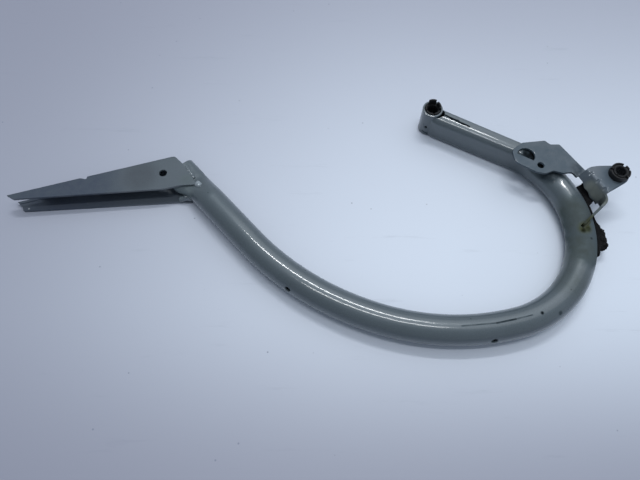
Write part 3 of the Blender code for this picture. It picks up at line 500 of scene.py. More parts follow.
def painted_steel(name, light, dark, rough=(0.4, 0.52), marks=(), inside=None):
    """Cathodic dip primer and metallic top coat on deep-drawn steel: grey-green, satin, with flakes that glint.

    Aluminium flakes are 0.03 mm across, too fine for the render, so their clusters are drawn 0.9 mm apart. The
    dip leaves an orange peel about 2.5 mm from crest to crest. Marks are stains and scratches, and patches of
    painted shade and painted light, all matt where they lie: (place in mm, radius, colour, share, and for a long
    one its other end). Inside is painted shade in a hollow, drawn in a darker paint: a direction, and the two
    levels along it, in mm, between which it sets in.
    """
    made = bpy.data.materials.new(name)
    made.use_nodes = True
    tree = made.node_tree
    shader = tree.nodes["Principled BSDF"]
    coords = add(tree, "ShaderNodeTexCoord")
    place = [("Vector", coords, "Object")]
    cloud = add(tree, "ShaderNodeTexNoise", {"Scale": 26.0, "Detail": 4.0, "Roughness": 0.6}, place)
    shades = {"data_type": "RGBA", 6: linear(dark), 7: linear(light)}
    tone = add(tree, "ShaderNodeMix", shades, [(0, cloud, "Fac")])
    flake = add(tree, "ShaderNodeTexNoise", {"Scale": 1 / (0.9 * MM), "Detail": 2.0, "Roughness": 0.7}, place)
    span = {"From Min": 0.3, "From Max": 0.72, "To Min": 0.88, "To Max": 1.14}
    glint = add(tree, "ShaderNodeMapRange", span, [("Value", flake, "Fac")])
    both = {"data_type": "RGBA", "blend_type": "MULTIPLY", 0: 1.0}
    coat = add(tree, "ShaderNodeMix", both, [(6, tone, 2), (7, glint, 0)])
    if inside:
        reach = None
        for direction, start, end in inside:
            level = {"operation": "DOT_PRODUCT", 1: direction}
            along = add(tree, "ShaderNodeVectorMath", level, [(0, coords, "Object")])
            span = {"interpolation_type": "SMOOTHSTEP", "From Min": start * MM, "From Max": end * MM}
            part = add(tree, "ShaderNodeMapRange", span, [("Value", along, "Value")])
            if reach:
                part = add(tree, "ShaderNodeMath", {"operation": "MULTIPLY"}, [(0, reach, 0), (1, part, 0)])
            reach = part
        # painted shade inside a hollow: a darker paint mixed in where the mask sets in
        inside_shade = {"data_type": "RGBA", 7: linear("#505963")}
        coat = add(tree, "ShaderNodeMix", inside_shade, [(0, reach, 0), (6, coat, 2)])
    # rare pin holes and specks of dust in the paint, about 12 mm apart
    speck = add(tree, "ShaderNodeTexVoronoi", {"Scale": 1 / (12 * MM)}, place)
    span = {"From Min": 0.035, "From Max": 0.06, "To Min": 0.55, "To Max": 0.0}
    pit = add(tree, "ShaderNodeMapRange", span, [("Value", speck, "Distance")])
    dust = {"data_type": "RGBA", 7: linear("#23272B")}
    coat = add(tree, "ShaderNodeMix", dust, [(0, pit, 0), (6, coat, 2)])
    smear = add(tree, "ShaderNodeTexNoise", {"Scale": 160.0, "Detail": 5.0, "Roughness": 0.65}, place)
    span = {"From Min": 0.36, "From Max": 0.62, "To Min": 0.65, "To Max": 1.0}
    patchy = add(tree, "ShaderNodeMapRange", span, [("Value", smear, "Fac")])
    # matt where dust, stains and the marks of painted shade and light lie
    soiled_and_painted_light = pit
    for spot, radius, colour, share, *end in marks:
        middle = {"operation": "SUBTRACT", 1: Vector(spot) * MM}
        from_spot = add(tree, "ShaderNodeVectorMath", middle, [(0, coords, "Object")])
        if end:
            run = (Vector(end[0]) - Vector(spot)) * MM
            # the nearest point of the mark's middle line, which stops at its two ends
            part = {"operation": "DOT_PRODUCT", 1: run / run.length_squared}
            part = add(tree, "ShaderNodeVectorMath", part, [(0, from_spot, 0)])
            held = {"operation": "ADD", "use_clamp": True, 1: 0.0}
            held = add(tree, "ShaderNodeMath", held, [(0, part, "Value")])
            along = add(tree, "ShaderNodeVectorMath", {"operation": "SCALE", 0: run}, [("Scale", held, 0)])
            between = [(0, from_spot, 0), (1, along, 0)]
            from_spot = add(tree, "ShaderNodeVectorMath", {"operation": "SUBTRACT"}, between)
        away = add(tree, "ShaderNodeVectorMath", {"operation": "LENGTH"}, [(0, from_spot, 0)])
        span = {"interpolation_type": "SMOOTHSTEP", "From Min": radius * 0.35 * MM, "From Max": radius * MM}
        fade = add(tree, "ShaderNodeMapRange", span | {"To Min": share, "To Max": 0.0}, [("Value", away, "Value")])
        # each mark's share, for stains and for painted shade and light alike
        stain_and_painted_light = add(tree, "ShaderNodeMath", {"operation": "MULTIPLY"}, [(0, fade, 0), (1, patchy, 0)])
        stain_and_painted_light_colour = {"data_type": "RGBA", 7: linear(colour)}
        coat = add(tree, "ShaderNodeMix", stain_and_painted_light_colour, [(0, stain_and_painted_light, 0), (6, coat, 2)])
        soiled_and_painted_light = add(tree, "ShaderNodeMath", {"operation": "MAXIMUM"}, [(0, soiled_and_painted_light, 0), (1, stain_and_painted_light, 0)])
    tree.links.new(coat.outputs[2], shader.inputs["Base Color"])
    sheen = {"To Min": rough[0], "To Max": rough[1]}
    gloss = add(tree, "ShaderNodeMapRange", sheen, [("Value", cloud, "Fac")])
    dull = add(tree, "ShaderNodeMath", {"operation": "MAXIMUM"}, [(0, gloss, 0), (1, soiled_and_painted_light, 0)])
    tree.links.new(dull.outputs[0], shader.inputs["Roughness"])
    for socket, clean in (("Coat Weight", 1.0), ("Specular IOR Level", 0.5)):
        lost = {"From Max": 0.6, "To Min": clean, "To Max": 0.0}
        clear = add(tree, "ShaderNodeMapRange", lost, [("Value", soiled_and_painted_light, 0)])
        tree.links.new(clear.outputs[0], shader.inputs[socket])
    peel = add(tree, "ShaderNodeTexNoise", {"Scale": 1 / (2.5 * MM), "Detail": 2.0}, place)
    heights = [(0, flake, "Fac"), (2, peel, "Fac")]
    rise = add(tree, "ShaderNodeMath", {"operation": "MULTIPLY_ADD", 1: 0.4}, heights)
    bump = add(tree, "ShaderNodeBump", {"Strength": 0.3, "Distance": 0.05 * MM}, [("Height", rise, 0)])
    tree.links.new(bump.outputs["Normal"], shader.inputs["Normal"])
    tree.links.new(bump.outputs["Normal"], shader.inputs["Coat Normal"])
    shader.inputs["Metallic"].default_value = 0.3
    shader.inputs["Coat Roughness"].default_value = 0.11
    return made


dress(
    tube,
    painted_steel(
        "dip_painted_tube_steel",
        "#4F5B62",
        "#424D53",
        marks=(
            ((231, -1, 22), 25, "#535D62", 1.0, (231, -36, 22)),
            # painted shadow of the plate on the hook, under its near edge
            ((186, 42, 24), 9, "#2B3136", 0.7, (212, 34, 24)),
            ((222, -2, 20), 22, "#4A4E42", 0.4),
            ((220, -36, 17), 24, "#4B5044", 0.4),
            ((208, -64, 18), 22, "#4D5248", 0.3),
            ((230, -17.5, 24), 8, "#4B4E2E", 0.85),
            ((228.5, -20.5, 24), 3, "#1B1E15", 0.9),
            ((232.6, -19.1, 24.9), 3.5, "#2C2F22", 0.8),
            ((180, -93, 25), 1.9, "#0D0F11", 1.0),
            ((195.6, -92.2, 22.0), 2.6, "#3A4146", 0.8),
            ((233.4, -27.7, 24.3), 1.6, "#2A2F33", 0.8),
            # the seam of the tube shows as a fine dark line at the start of the hook
            ((115.7, -103.6, 24.9), 0.9, "#2E353A", 0.6, (143.2, -101.2, 24.9)),
            ((143.2, -101.2, 24.9), 1.1, "#23292D", 0.8, (158.5, -98.0, 24.9)),
            ((158.5, -98.0, 24.9), 0.9, "#333A3F", 0.6, (172.0, -94.7, 24.7)),
            # painted light on the squashed lip, where it bulges out below the flange
            ((-120, 26, 13), 9, "#7C8688", 0.7, (-110, 24, 12)),
            # painted shade under the plate, seen through its holes
            ((197.0, 53.5, 26.0), 6.8, "#14171A", 1.0, (193.0, 57.0, 27.0)),
            ((204.3, 45.8, 24.4), 6.0, "#0E1113", 1.0),
            # painted shade along the crease
            ((122.6, 99.3, 27.0), 1.7, "#101316", 0.9, (143.5, 86.3, 27.0)),
        ),
    ),
)
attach(tube, "arm")
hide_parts("gooseneck_tube")


# The pivot sleeve: a turned steel sleeve, chamfered at both ends, welded across the end of the pressed arm.
# It was dipped with the arm, so the paint fills the corner between them. A centre punch left a dimple in its
# side.
SLEEVE_WIDE, SLEEVE_BORE, SLEEVE_TALL = 19.0, 15.4, 28.6
DIMPLE_BEARING = atan2(97.8 - EYE.y, 107.3 - EYE.x)
DIMPLE_UP, SLIT_UP = 11.4, 3.4


def turned(name, column_at, middle, count=96):
    """A ring about an upright axis, from the closed column of (radius, height) at each bearing."""
    points, faces = [], []
    for i in range(count):
        angle = 2 * pi * i / count
        column = column_at(angle)
        size = len(column)
        points += [(middle[0] + r * cos(angle), middle[1] + r * sin(angle), z) for r, z in column]
        here, there = i * size, (i + 1) % count * size
        for k in range(size):
            m = (k + 1) % size
            faces.append((here + k, there + k, there + m, here + m))
    return piece(name, points, faces)


outer_side = [(SLEEVE_WIDE / 2, 0.6 + (SLEEVE_TALL - 1.1) * i / 60) for i in range(61)]
sleeve_profile = [(SLEEVE_BORE / 2, 0.4), (SLEEVE_BORE / 2 + 0.4, 0.0), (SLEEVE_WIDE / 2 - 0.6, 0.0)]
sleeve_profile += [(SLEEVE_WIDE / 2 - 0.17, 0.18)] + outer_side
sleeve_profile += [(SLEEVE_WIDE / 2 - 0.15, SLEEVE_TALL - 0.14), (SLEEVE_WIDE / 2 - 0.5, SLEEVE_TALL)]
sleeve_profile += [(SLEEVE_BORE / 2 + 0.35, SLEEVE_TALL), (SLEEVE_BORE / 2, SLEEVE_TALL - 0.35)]
sleeve = turned("painted_pivot_sleeve", lambda angle: sleeve_profile, EYE, 160)
for vertex in sleeve.data.vertices:
    spot = vertex.co / MM
    out = spot.xy - EYE.xy
    if out.length < SLEEVE_WIDE / 2 - 0.05:
        continue
    turn = (atan2(out.y, out.x) - DIMPLE_BEARING + pi) % (2 * pi) - pi
    away = sqrt((turn * SLEEVE_WIDE / 2) ** 2 + (spot.z - DIMPLE_UP) ** 2)
    press = 1.2 * exp(-((away / 1.35) ** 2)) - 0.12 * exp(-(((away - 2.6) / 1.0) ** 2))
    # the saw cut that runs round the foot of the sleeve on this side
    slit_up = SLIT_UP + 0.35 * sin(turn * 3)
    slit = 0.5 * exp(-(((spot.z - slit_up) / 0.45) ** 2)) * smooth_step((0.5 - abs(turn + 0.1)) / 0.3)
    vertex.co = (*(EYE.xy + out * (1 - (press + slit) / out.length)) * MM, vertex.co.z)
dress(
    sleeve,
    painted_steel(
        "dip_painted_sleeve_steel",
        "#4A555C",
        "#3D484F",
        marks=(
            # painted shade in the pit of the centre punch, and in the saw cut below it
            ((107.6, 98.2, 11.4), 2.0, "#15191C", 1.0),
            ((105.4, 99.2, 4.2), 1.3, "#22282C", 0.8, (110.5, 96.7, 3.3)),
        ),
    ),
)
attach(sleeve, "arm")
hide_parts("pivot_sleeve")


# The pivot bush: a glass-filled nylon liner, moulded, snapped into the sleeve. Its crown of five fingers
# stands above the sleeve; two are whole and the near ones broke off when the pivot pin was pulled.
CROWN_LOW = SLEEVE_TALL - 1.4
CROWN_HIGH = SLEEVE_TALL + 5.2
CROWN_FINGERS, FIRST_SLOT, SLOT_WIDE = 5, radians(-17), 1.8
LINER_WIDE, LINER_BORE = 14.8, 10.2
CROWN_BORE = 11.2


def crown_top(angle):
    """Height of the crown at a bearing: full fingers, torn stubs, and the slots between them."""
    share = 2 * pi / CROWN_FINGERS
    place = (angle - FIRST_SLOT) % (2 * pi)
    finger, within = int(place / share), place % share
    from_slot = min(within, share - within) * LINER_WIDE / 2
    if from_slot < SLOT_WIDE / 2:
        return SLEEVE_TALL - 1.0
    if finger == 1:
        return CROWN_HIGH if within < share * 0.93 else CROWN_HIGH - 3.4
    if finger == 0:
        return CROWN_HIGH - 1.3 - 1.6 * smooth_step((share * 0.42 - within) / 0.3)
    torn = noise.noise(Vector((cos(angle) * 4, sin(angle) * 4, 2.0)))
    torn += 0.5 * noise.noise(Vector((cos(angle) * 11, sin(angle) * 11, 5.0)))
    return SLEEVE_TALL + 1.0 + 0.8 * torn


def crown_column(angle):
    """The crown's wall at a bearing, with a barb on the outside of a whole finger."""
    top = crown_top(angle)
    barb = 0.35 if top > SLEEVE_TALL + 3 else 0.0
    inside, outside = CROWN_BORE / 2, LINER_WIDE / 2
    column = [(inside, CROWN_LOW), (outside, CROWN_LOW), (outside, SLEEVE_TALL)]
    column += [(outside, mix(SLEEVE_TALL, top, 0.45)), (outside + barb, mix(SLEEVE_TALL, top, 0.62))]
    column += [(outside - 0.1 + barb * 0.6, top - 0.3), (outside - 0.5, top), (inside + 0.3, top)]
    return column + [(inside, mix(SLEEVE_TALL, top, 0.5))]


def rib_tree():
    """Geometry Nodes: upright ribs spread evenly round the inside of a bore."""
    tree = bpy.data.node_groups.new("bore_ribs", "GeometryNodeTree")
    sockets = {"Count": "NodeSocketInt", "Radius": "NodeSocketFloat", "Width": "NodeSocketFloat"}
    sockets |= {"Depth": "NodeSocketFloat", "Height": "NodeSocketFloat", "Middle": "NodeSocketVector"}
    sockets |= {"Finish": "NodeSocketMaterial"}
    for label, kind in sockets.items():
        tree.interface.new_socket(label, in_out="INPUT", socket_type=kind)
    tree.interface.new_socket("Geometry", in_out="OUTPUT", socket_type="NodeSocketGeometry")
    given = add(tree, "NodeGroupInput")
    round_bore = [("Vertices", given, "Count"), ("Radius", given, "Radius")]
    ring = add(tree, "GeometryNodeMeshCircle", links=round_bore)
    sides = [("X", given, "Depth"), ("Y", given, "Width"), ("Z", given, "Height")]
    size = add(tree, "ShaderNodeCombineXYZ", links=sides)
    rib = add(tree, "GeometryNodeMeshCube", links=[("Size", size, 0)])
    spot = add(tree, "GeometryNodeInputPosition")
    turn = add(tree, "FunctionNodeAlignRotationToVector", {"axis": "X"}, [("Vector", spot, 0)])
    upright = [("Points", ring, "Mesh"), ("Instance", rib, "Mesh"), ("Rotation", turn, "Rotation")]
    spread = add(tree, "GeometryNodeInstanceOnPoints", links=upright)
    to_eye = [("Geometry", spread, 0), ("Translation", given, "Middle")]
    moved = add(tree, "GeometryNodeTransform", links=to_eye)
    real = add(tree, "GeometryNodeRealizeInstances", links=[(0, moved, 0)])
    covered = [("Geometry", real, 0), ("Material", given, "Finish")]
    finish = add(tree, "GeometryNodeSetMaterial", links=covered)
    add(tree, "NodeGroupOutput", links=[(0, finish, 0)])
    return tree


def grow(name, tree, values):
    """Runs a node tree with the values given by socket name, and keeps the result as a plain mesh."""
    item = bpy.data.objects.new(name, bpy.data.meshes.new(name))
    bpy.context.scene.collection.objects.link(item)
    step = item.modifiers.new(name, "NODES")
    step.node_group = tree
    for socket in tree.interface.items_tree:
        if socket.in_out == "INPUT" and socket.name in values:
            step[socket.identifier] = values[socket.name]
    fix_shape(item)
    return item


def join(name, items):
    """Several overlapping skins as one object."""
    work = bmesh.new()
    for item in items:
        work.from_mesh(item.data)
        bpy.data.objects.remove(item)
    mesh = bpy.data.meshes.new(name)
    work.to_mesh(mesh)
    work.free()
    item = bpy.data.objects.new(name, mesh)
    bpy.context.scene.collection.objects.link(item)
    return item


def fuse(item, voxel, rounds, share=0.5):
    """Melts overlapping skins into one, with the soft edges of a moulding or a stamping."""
    step = item.modifiers.new("fuse", "REMESH")
    step.mode = "VOXEL"
    step.voxel_size = voxel * MM
    if rounds:
        ease = item.modifiers.new("ease", "SMOOTH")
        ease.factor = share
        ease.iterations = rounds
    fix_shape(item)


def moulded_nylon(name, light, dark):
    """Glass-filled nylon, injection moulded: black, half matt, with a fine spark grain about 0.6 mm apart."""
    made = bpy.data.materials.new(name)
    made.use_nodes = True
    tree = made.node_tree
    shader = tree.nodes["Principled BSDF"]
    coords = add(tree, "ShaderNodeTexCoord")
    place = [("Vector", coords, "Object")]
    cloud = add(tree, "ShaderNodeTexNoise", {"Scale": 300.0, "Detail": 4.0}, place)
    shades = {"data_type": "RGBA", 6: linear(dark), 7: linear(light)}
    tone = add(tree, "ShaderNodeMix", shades, [(0, cloud, "Fac")])
    tree.links.new(tone.outputs[2], shader.inputs["Base Color"])
    gloss = add(tree, "ShaderNodeMapRange", {"To Min": 0.5, "To Max": 0.7}, [("Value", cloud, "Fac")])
    tree.links.new(gloss.outputs[0], shader.inputs["Roughness"])
    grain = add(tree, "ShaderNodeTexNoise", {"Scale": 1 / (0.6 * MM), "Detail": 2.0}, place)
    bump = add(tree, "ShaderNodeBump", {"Strength": 0.4, "Distance": 0.06 * MM}, [("Height", grain, "Fac")])
    tree.links.new(bump.outputs["Normal"], shader.inputs["Normal"])
    shader.inputs["IOR"].default_value = 1.53
    shader.inputs["Specular IOR Level"].default_value = 0.3
    return made


nylon = moulded_nylon("moulded_black_nylon", "#181A1D", "#0A0B0D")
ribs_tree = rib_tree()
liner_low, liner_high = 0.8, SLEEVE_TALL - 1.0
liner_profile = [(LINER_BORE / 2, liner_low), (LINER_WIDE / 2, liner_low)]
liner_profile += [(LINER_WIDE / 2, liner_high), (LINER_BORE / 2, liner_high)]
liner = turned("liner", lambda angle: liner_profile, EYE)
ribs = grow(
    "liner_ribs",
    ribs_tree,
    {
        "Count": 10,
        "Radius": 5.15 * MM,
        "Width": 1.1 * MM,
        "Depth": 0.9 * MM,
        "Height": 22 * MM,
        "Middle": (EYE.x * MM, EYE.y * MM, 14.5 * MM),
        "Finish": nylon,
    },
)
bush = join("nylon_pivot_bush", [liner, turned("crown", crown_column, EYE, 360), ribs])
fuse(bush, 0.26, 2)
dress(bush, nylon, 60)
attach(bush, "pivot_bush")
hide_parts("pivot_bush")


# The lid channel: one blank of 2.2 mm steel sheet, sheared, punched and folded to a U whose flanges run out
# to a narrow tip. The squashed end of the tube is welded between the flanges, and the lid is bolted to the web.
CHANNEL_LONG, CHANNEL_TALL, CHANNEL_SHEET, CHANNEL_BEND = 154.0, 19.0, 2.2, 3.2
WEB_HEADING = LID_HEADING + radians(63.9)
WEB_AXIS = Vector((cos(WEB_HEADING), sin(WEB_HEADING)))
WEB_SIDE = Vector((-WEB_AXIS.y, WEB_AXIS.x))
WEB_TIP = LID_END - WEB_AXIS * (CHANNEL_LONG - 3.2) + WEB_SIDE * 11.4
FLANGE_END = ((CHANNEL_LONG, -12.0), (CHANNEL_LONG + 8.6, -37.5))
FLANGE_HOLE, FLANGE_HOLE_RADIUS = (135.1, -17.0), 3.6
LID_HOLES, LID_HOLE_RADIUS = (55.0, 112.0), 4.2
WEB_MOUTH, WEB_MOUTH_RADIUS = 18.7, 6.3


def from_tip(along, across):
    """A point of the bench: along the channel's web from its tip, across towards the lid."""
    return WEB_TIP + WEB_AXIS * along + WEB_SIDE * across


def channel_section():
    """The U: across from the web's outer face towards the open side, and up."""
    high, bend, inner, open_side = CHANNEL_TALL, CHANNEL_BEND, CHANNEL_BEND - CHANNEL_SHEET, -48.0
    steps = [i * pi / 2 / 9 for i in range(10)]
    outline = [(open_side, 0.0)]
    outline += [(-bend + bend * sin(a), bend - bend * cos(a)) for a in steps]
    outline += [(-bend + bend * cos(a), high - bend + bend * sin(a)) for a in steps]
    outline += [(open_side, high), (open_side, high - CHANNEL_SHEET)]
    outline += [(-bend + inner * sin(a), high - bend + inner * cos(a)) for a in steps]
    outline += [(-bend + inner * cos(a), bend - inner * sin(a)) for a in steps]
    return outline + [(open_side, CHANNEL_SHEET)]


def upright_cutter(name, outline, low, high):
    return prism(name, [from_tip(*p) for p in outline], low, high)


ends = [[(*from_tip(x, y), z) for y, z in channel_section()] for x in (-3, CHANNEL_LONG + 12)]
channel = loft("painted_lid_channel", ends)
upper = rounded(
    [
        (-1.5, 1, 0),
        (-1.5, -2.2, 1.0),
        (3.5, -7.2, 2.5),
        (133.0, -33.5, 6.0),
        (147.2, -33.9, 10.0),
        (*FLANGE_END[1], 1.5),
        (*FLANGE_END[0], 3.0),
        (148.5, -2.2, 4.0),
        (142.0, 1, 0),
    ]
)
lower = rounded(
    [
        (-0.5, 1, 0),
        (3.5, -5.2, 1.0),
        (4.5, -10.5, 1.5),
        (139.3, -40.1, 10.0),
        (156.5, -44.9, 4.0),
        (156.0, -17.4, 6.0),
        (148.0, 1, 0),
    ]
)
blank = upright_cutter("upper_blank", upper, CHANNEL_TALL / 2, CHANNEL_TALL + 1)
carve(blank, upright_cutter("lower_blank", lower, -1, CHANNEL_TALL / 2 + 0.2), "UNION")
carve(channel, blank, "INTERSECT")
carve(channel, prism("flange_hole", circle(from_tip(*FLANGE_HOLE), FLANGE_HOLE_RADIUS), 10, 25))
notch = [(60.4, 1.2), (61.6, -0.7), (66.4, -3.7), (67.6, -3.9), (68.4, -3.0), (69.0, 1.2)]
carve(channel, upright_cutter("relief_notch", notch, CHANNEL_TALL - CHANNEL_BEND - 2, 25))


def web_cutter(name, outline):
    """A punch through the web, from an outline of (along, up)."""
    return loft(name, [[(*from_tip(x, across), z) for x, z in outline] for across in (-2 * CHANNEL_SHEET, 1)])


mid_level = CHANNEL_TALL / 2
mouth = [(-6, mid_level + WEB_MOUTH_RADIUS), (-6, mid_level - WEB_MOUTH_RADIUS)]
for i in range(17):
    angle = -pi / 2 + pi * i / 16
    mouth.append((WEB_MOUTH + WEB_MOUTH_RADIUS * cos(angle), mid_level + WEB_MOUTH_RADIUS * sin(angle)))
carve(channel, web_cutter("web_mouth", mouth))
for along in LID_HOLES:
    carve(channel, web_cutter("lid_hole", circle((along, mid_level), LID_HOLE_RADIUS, 40)))
edge = channel.modifiers.new("sheared_edge", "BEVEL")
edge.width = 0.35 * MM
edge.segments = 2
edge.limit_method = "ANGLE"
edge.angle_limit = radians(50)
fix_shape(channel)
web_level = WEB_TIP.dot(WEB_SIDE)
dress(
    channel,
    painted_steel(
        "dip_painted_channel_steel",
        "#4B565D",
        "#404A52",
        marks=(
            # painted shade: the flange's left part is drawn purple-grey, where less light falls on it
            ((-225, 26, 19), 70, "#4B5160", 0.6),
            ((-158, 38, 19), 22, "#54575C", 0.5),
            ((-115, 33, 19), 9, "#646D6E", 0.6),
            ((-259.9, 13.1, 2.2), 1.0, "#C6CDD1", 0.9),
        ),
        # painted shade on the lower flange, under the upper one: its paint is darker below 4 mm, away from the
        # web's outer face
        inside=((Vector((0, 0, -1)), -5.4, -4.0), (-WEB_SIDE.to_3d(), 1.2 - web_level, 2.0 - web_level)),
    ),
    40,
)
flat = channel.modifiers.new("flat_sheet", "WEIGHTED_NORMAL")
flat.keep_sharp = True
flat.weight = 100
fix_shape(channel)
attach(channel, "arm")
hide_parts("lid_channel")


# The link bracket: one stamping of 2.5 mm steel. A plate with a D-shaped and a round hole lies on the arm, a
# neck turns down into a wall, the wall's top is folded out to the lug, and a foot runs back to be welded on
# the tube.
PLATE_LOW, PLATE_HIGH = 27.6, 30.1
PLATE_HOLE, PLATE_HOLE_RADIUS = (109.6, -12.1), 3.0
D_HOLE, D_HOLE_RADIUS, D_HOLE_FLAT = (94.7, -8.6), 7.8, 1.7
LUG_HIGH, LUG_SHEET = 36.0, 2.5
LUG_AXIS, LUG_RADIUS, LUG_HOLE = (170.4, 6.4), 9.3, 14.6
WALL_START, WALL_END, WALL_BEND = Vector((144.2, -2.8)), Vector((167.6, -16.7)), 4.0
WALL_AXIS = (WALL_END - WALL_START).normalized()
WALL_OUT = Vector((-WALL_AXIS.y, WALL_AXIS.x))
WALL_LEAN = (44, 12)  # degrees from upright, at the neck and at the foot
FOOT_SHEET = 2.3


def arm_prism(name, outline, low, high):
    return prism(name, [from_eye(*p) for p in outline], low, high)


neck_far = WALL_START + WALL_OUT * 4.8
neck_near = WALL_START - WALL_OUT * 6.6 + WALL_AXIS * 0.4
plate_outline = rounded(
    [
        (87.0, 3.2, 3.0),
        (103.9, 15.3, 2.0),
        (109.6, 13.6, 3.0),
        (116.8, 17.7, 2.0),
        (neck_far.x, neck_far.y, 0),
        (neck_near.x, neck_near.y, 0),
        (136.5, -5.6, 3.0),
        (129.8, -10.4, 4.0),
        (121.4, -12.2, 4.0),
        (116.5, -18.5, 5.0),
        (109.0, -20.6, 6.0),
        (88.5, -19.6, 6.5),
        (81.2, -9.0, 7.0),
    ]
)
plate = arm_prism("plate", plate_outline, PLATE_LOW, PLATE_HIGH)
carve(plate, arm_prism("round_hole", circle(PLATE_HOLE, PLATE_HOLE_RADIUS), 20, 40))
flat_low = -asin(D_HOLE_FLAT / D_HOLE_RADIUS)
d_shape = []
for i in range(31):
    angle = mix(flat_low, pi - flat_low, i / 30)
    d_shape.append(Vector(D_HOLE) + D_HOLE_RADIUS * Vector((cos(angle), sin(angle))))
carve(plate, arm_prism("d_hole", d_shape, 20, 40))


def wall_section(share):
    """The wall and its bend into the lug, at a share of its length: out from the wall's upper face, and up.

    The wall leans in under the lug where it leaves the neck, and comes upright towards the foot.
    """
    lean = radians(mix(*WALL_LEAN, share))
    reach = mix(7.0, 14.7, share) + 0.55 * sin(share * 6 * pi + 0.6)
    flute = 0.18 * sin(share * 6 * pi - 1.2)
    down = Vector((-sin(lean), -cos(lean)))
    middle = Vector((WALL_BEND, LUG_HIGH - WALL_BEND))
    faces = [Vector((cos(a), sin(a))) for a in [pi / 2 + (pi / 2 - lean) * i / 8 for i in range(9)]]
    front = [middle + face * WALL_BEND for face in faces]
    back = [middle + face * (WALL_BEND - LUG_SHEET) for face in faces]
    outline = [front[-1] + down * reach + faces[-1] * flute]
    outline += [front[-1] + down * reach * 0.5 + faces[-1] * flute] + front[::-1]
    outline += [Vector((WALL_BEND + 1.5, LUG_HIGH)), Vector((WALL_BEND + 1.5, LUG_HIGH - LUG_SHEET))]
    return outline + back + [back[-1] + down * reach]


rings = []
for i in range(41):
    place = WALL_START.lerp(WALL_END, i / 40)
    rings.append([(*from_eye(*(place + WALL_OUT * out)), up) for out, up in wall_section(i / 40)])
wall = loft("wall", rings)


def tangents(start, middle, radius, end, steps=24):
    """From a point round a circle's far side to another point, along both tangents, clockwise."""
    outline, angles = [Vector(start)], []
    for point, way in ((start, -1), (end, 1)):
        offset = Vector(point) - Vector(middle)
        angles.append(atan2(offset.y, offset.x) + way * acos(radius / offset.length))
    first, last = angles
    while last > first:
        last -= 2 * pi
    for i in range(steps + 1):
        angle = mix(first, last, i / steps)
        outline.append(Vector(middle) + radius * Vector((cos(angle), sin(angle))))
    return outline + [Vector(end)]


near_start = WALL_START + WALL_OUT * WALL_BEND
near_end = WALL_END + WALL_OUT * WALL_BEND
shoulder = near_start + WALL_OUT * 3.6 + WALL_AXIS * 0.4
lug_side = WALL_START + Vector((9.3, 10.2))
lug_outline = [near_start, shoulder] + tangents(lug_side, LUG_AXIS, LUG_RADIUS, near_end)
lug = arm_prism("lug", lug_outline, LUG_HIGH - LUG_SHEET, LUG_HIGH)
carve(lug, arm_prism("lug_hole", circle(LUG_AXIS, LUG_HOLE / 2), 20, 40))


def on_hook(radius, bearing):
    """A point by its distance from the hook's centre and its bearing back from the hook's end."""
    return HOOK_CENTRE + (ARM_AXIS * sin(bearing) + ARM_FAR * cos(bearing)) * radius


FOOT_CORNER = from_eye(*(WALL_END + WALL_AXIS * 4.4 + WALL_OUT * 1.25))
FOOT_LANDING = on_hook(ARCS[3][0] - 3.5, radians(63.6))


def foot_sheet():
    """An upright strip from the wall's end, round its bend, to where it is welded on top of the tube."""
    start = from_eye(*(WALL_END - WALL_AXIS * 1.5 + WALL_OUT * 0.7))
    route = rounded([(*start, 0), (*FOOT_CORNER, 3.2), (*FOOT_LANDING, 0)])
    bend, landing = route[-2:]
    axis = (landing - bend).normalized()
    route[-1:] = [bend + axis * 8, landing]
    levels = [18.0] * (len(route) - 2) + [20.0, 12.5]
    rings = []
    for number, (spot, low) in enumerate(zip(route, levels)):
        before, after = route[max(number - 1, 0)], route[min(number + 1, len(route) - 1)]
        run = (after - before).normalized()
        side = Vector((-run.y, run.x)) * FOOT_SHEET / 2
        top = mix(33.0, 27.4, (number / (len(route) - 1)) ** 0.6)
        left, right = spot - side, spot + side
        rings.append([(*left, low), (*right, low), (*right, top), (*left, top)])
    return loft("foot", rings)


bracket = join("painted_link_bracket", [plate, wall, lug, foot_sheet()])
fuse(bracket, 0.34, 0)


def dart_cutter(share):
    """A rod laid across the bend, which stands for the punch that pressed the dart."""
    place = WALL_START.lerp(WALL_END, share)
    lean = radians(mix(*WALL_LEAN, share))
    tilt = (pi / 2 + lean) / 2  # way that the middle of the bend faces, up from the wall's own side
    face = Vector((-cos(tilt), sin(tilt)))
    run = Vector((face.y, -face.x))
    middle = Vector((WALL_BEND, LUG_HIGH - WALL_BEND)) + face * (WALL_BEND + 0.75)
    rings = []
    for slide, wide in ((-6.5, 0.3), (-4.5, 1.6), (4.5, 1.6), (6.5, 0.3)):
        ring = []
        for i in range(24):
            angle = 2 * pi * i / 24
            spot = middle + run * slide + face * wide * sin(angle)
            flat = place + WALL_OUT * spot.x + WALL_AXIS * wide * cos(angle)
            ring.append((*from_eye(*flat), spot.y))
        rings.append(ring)
    return loft("dart", rings)


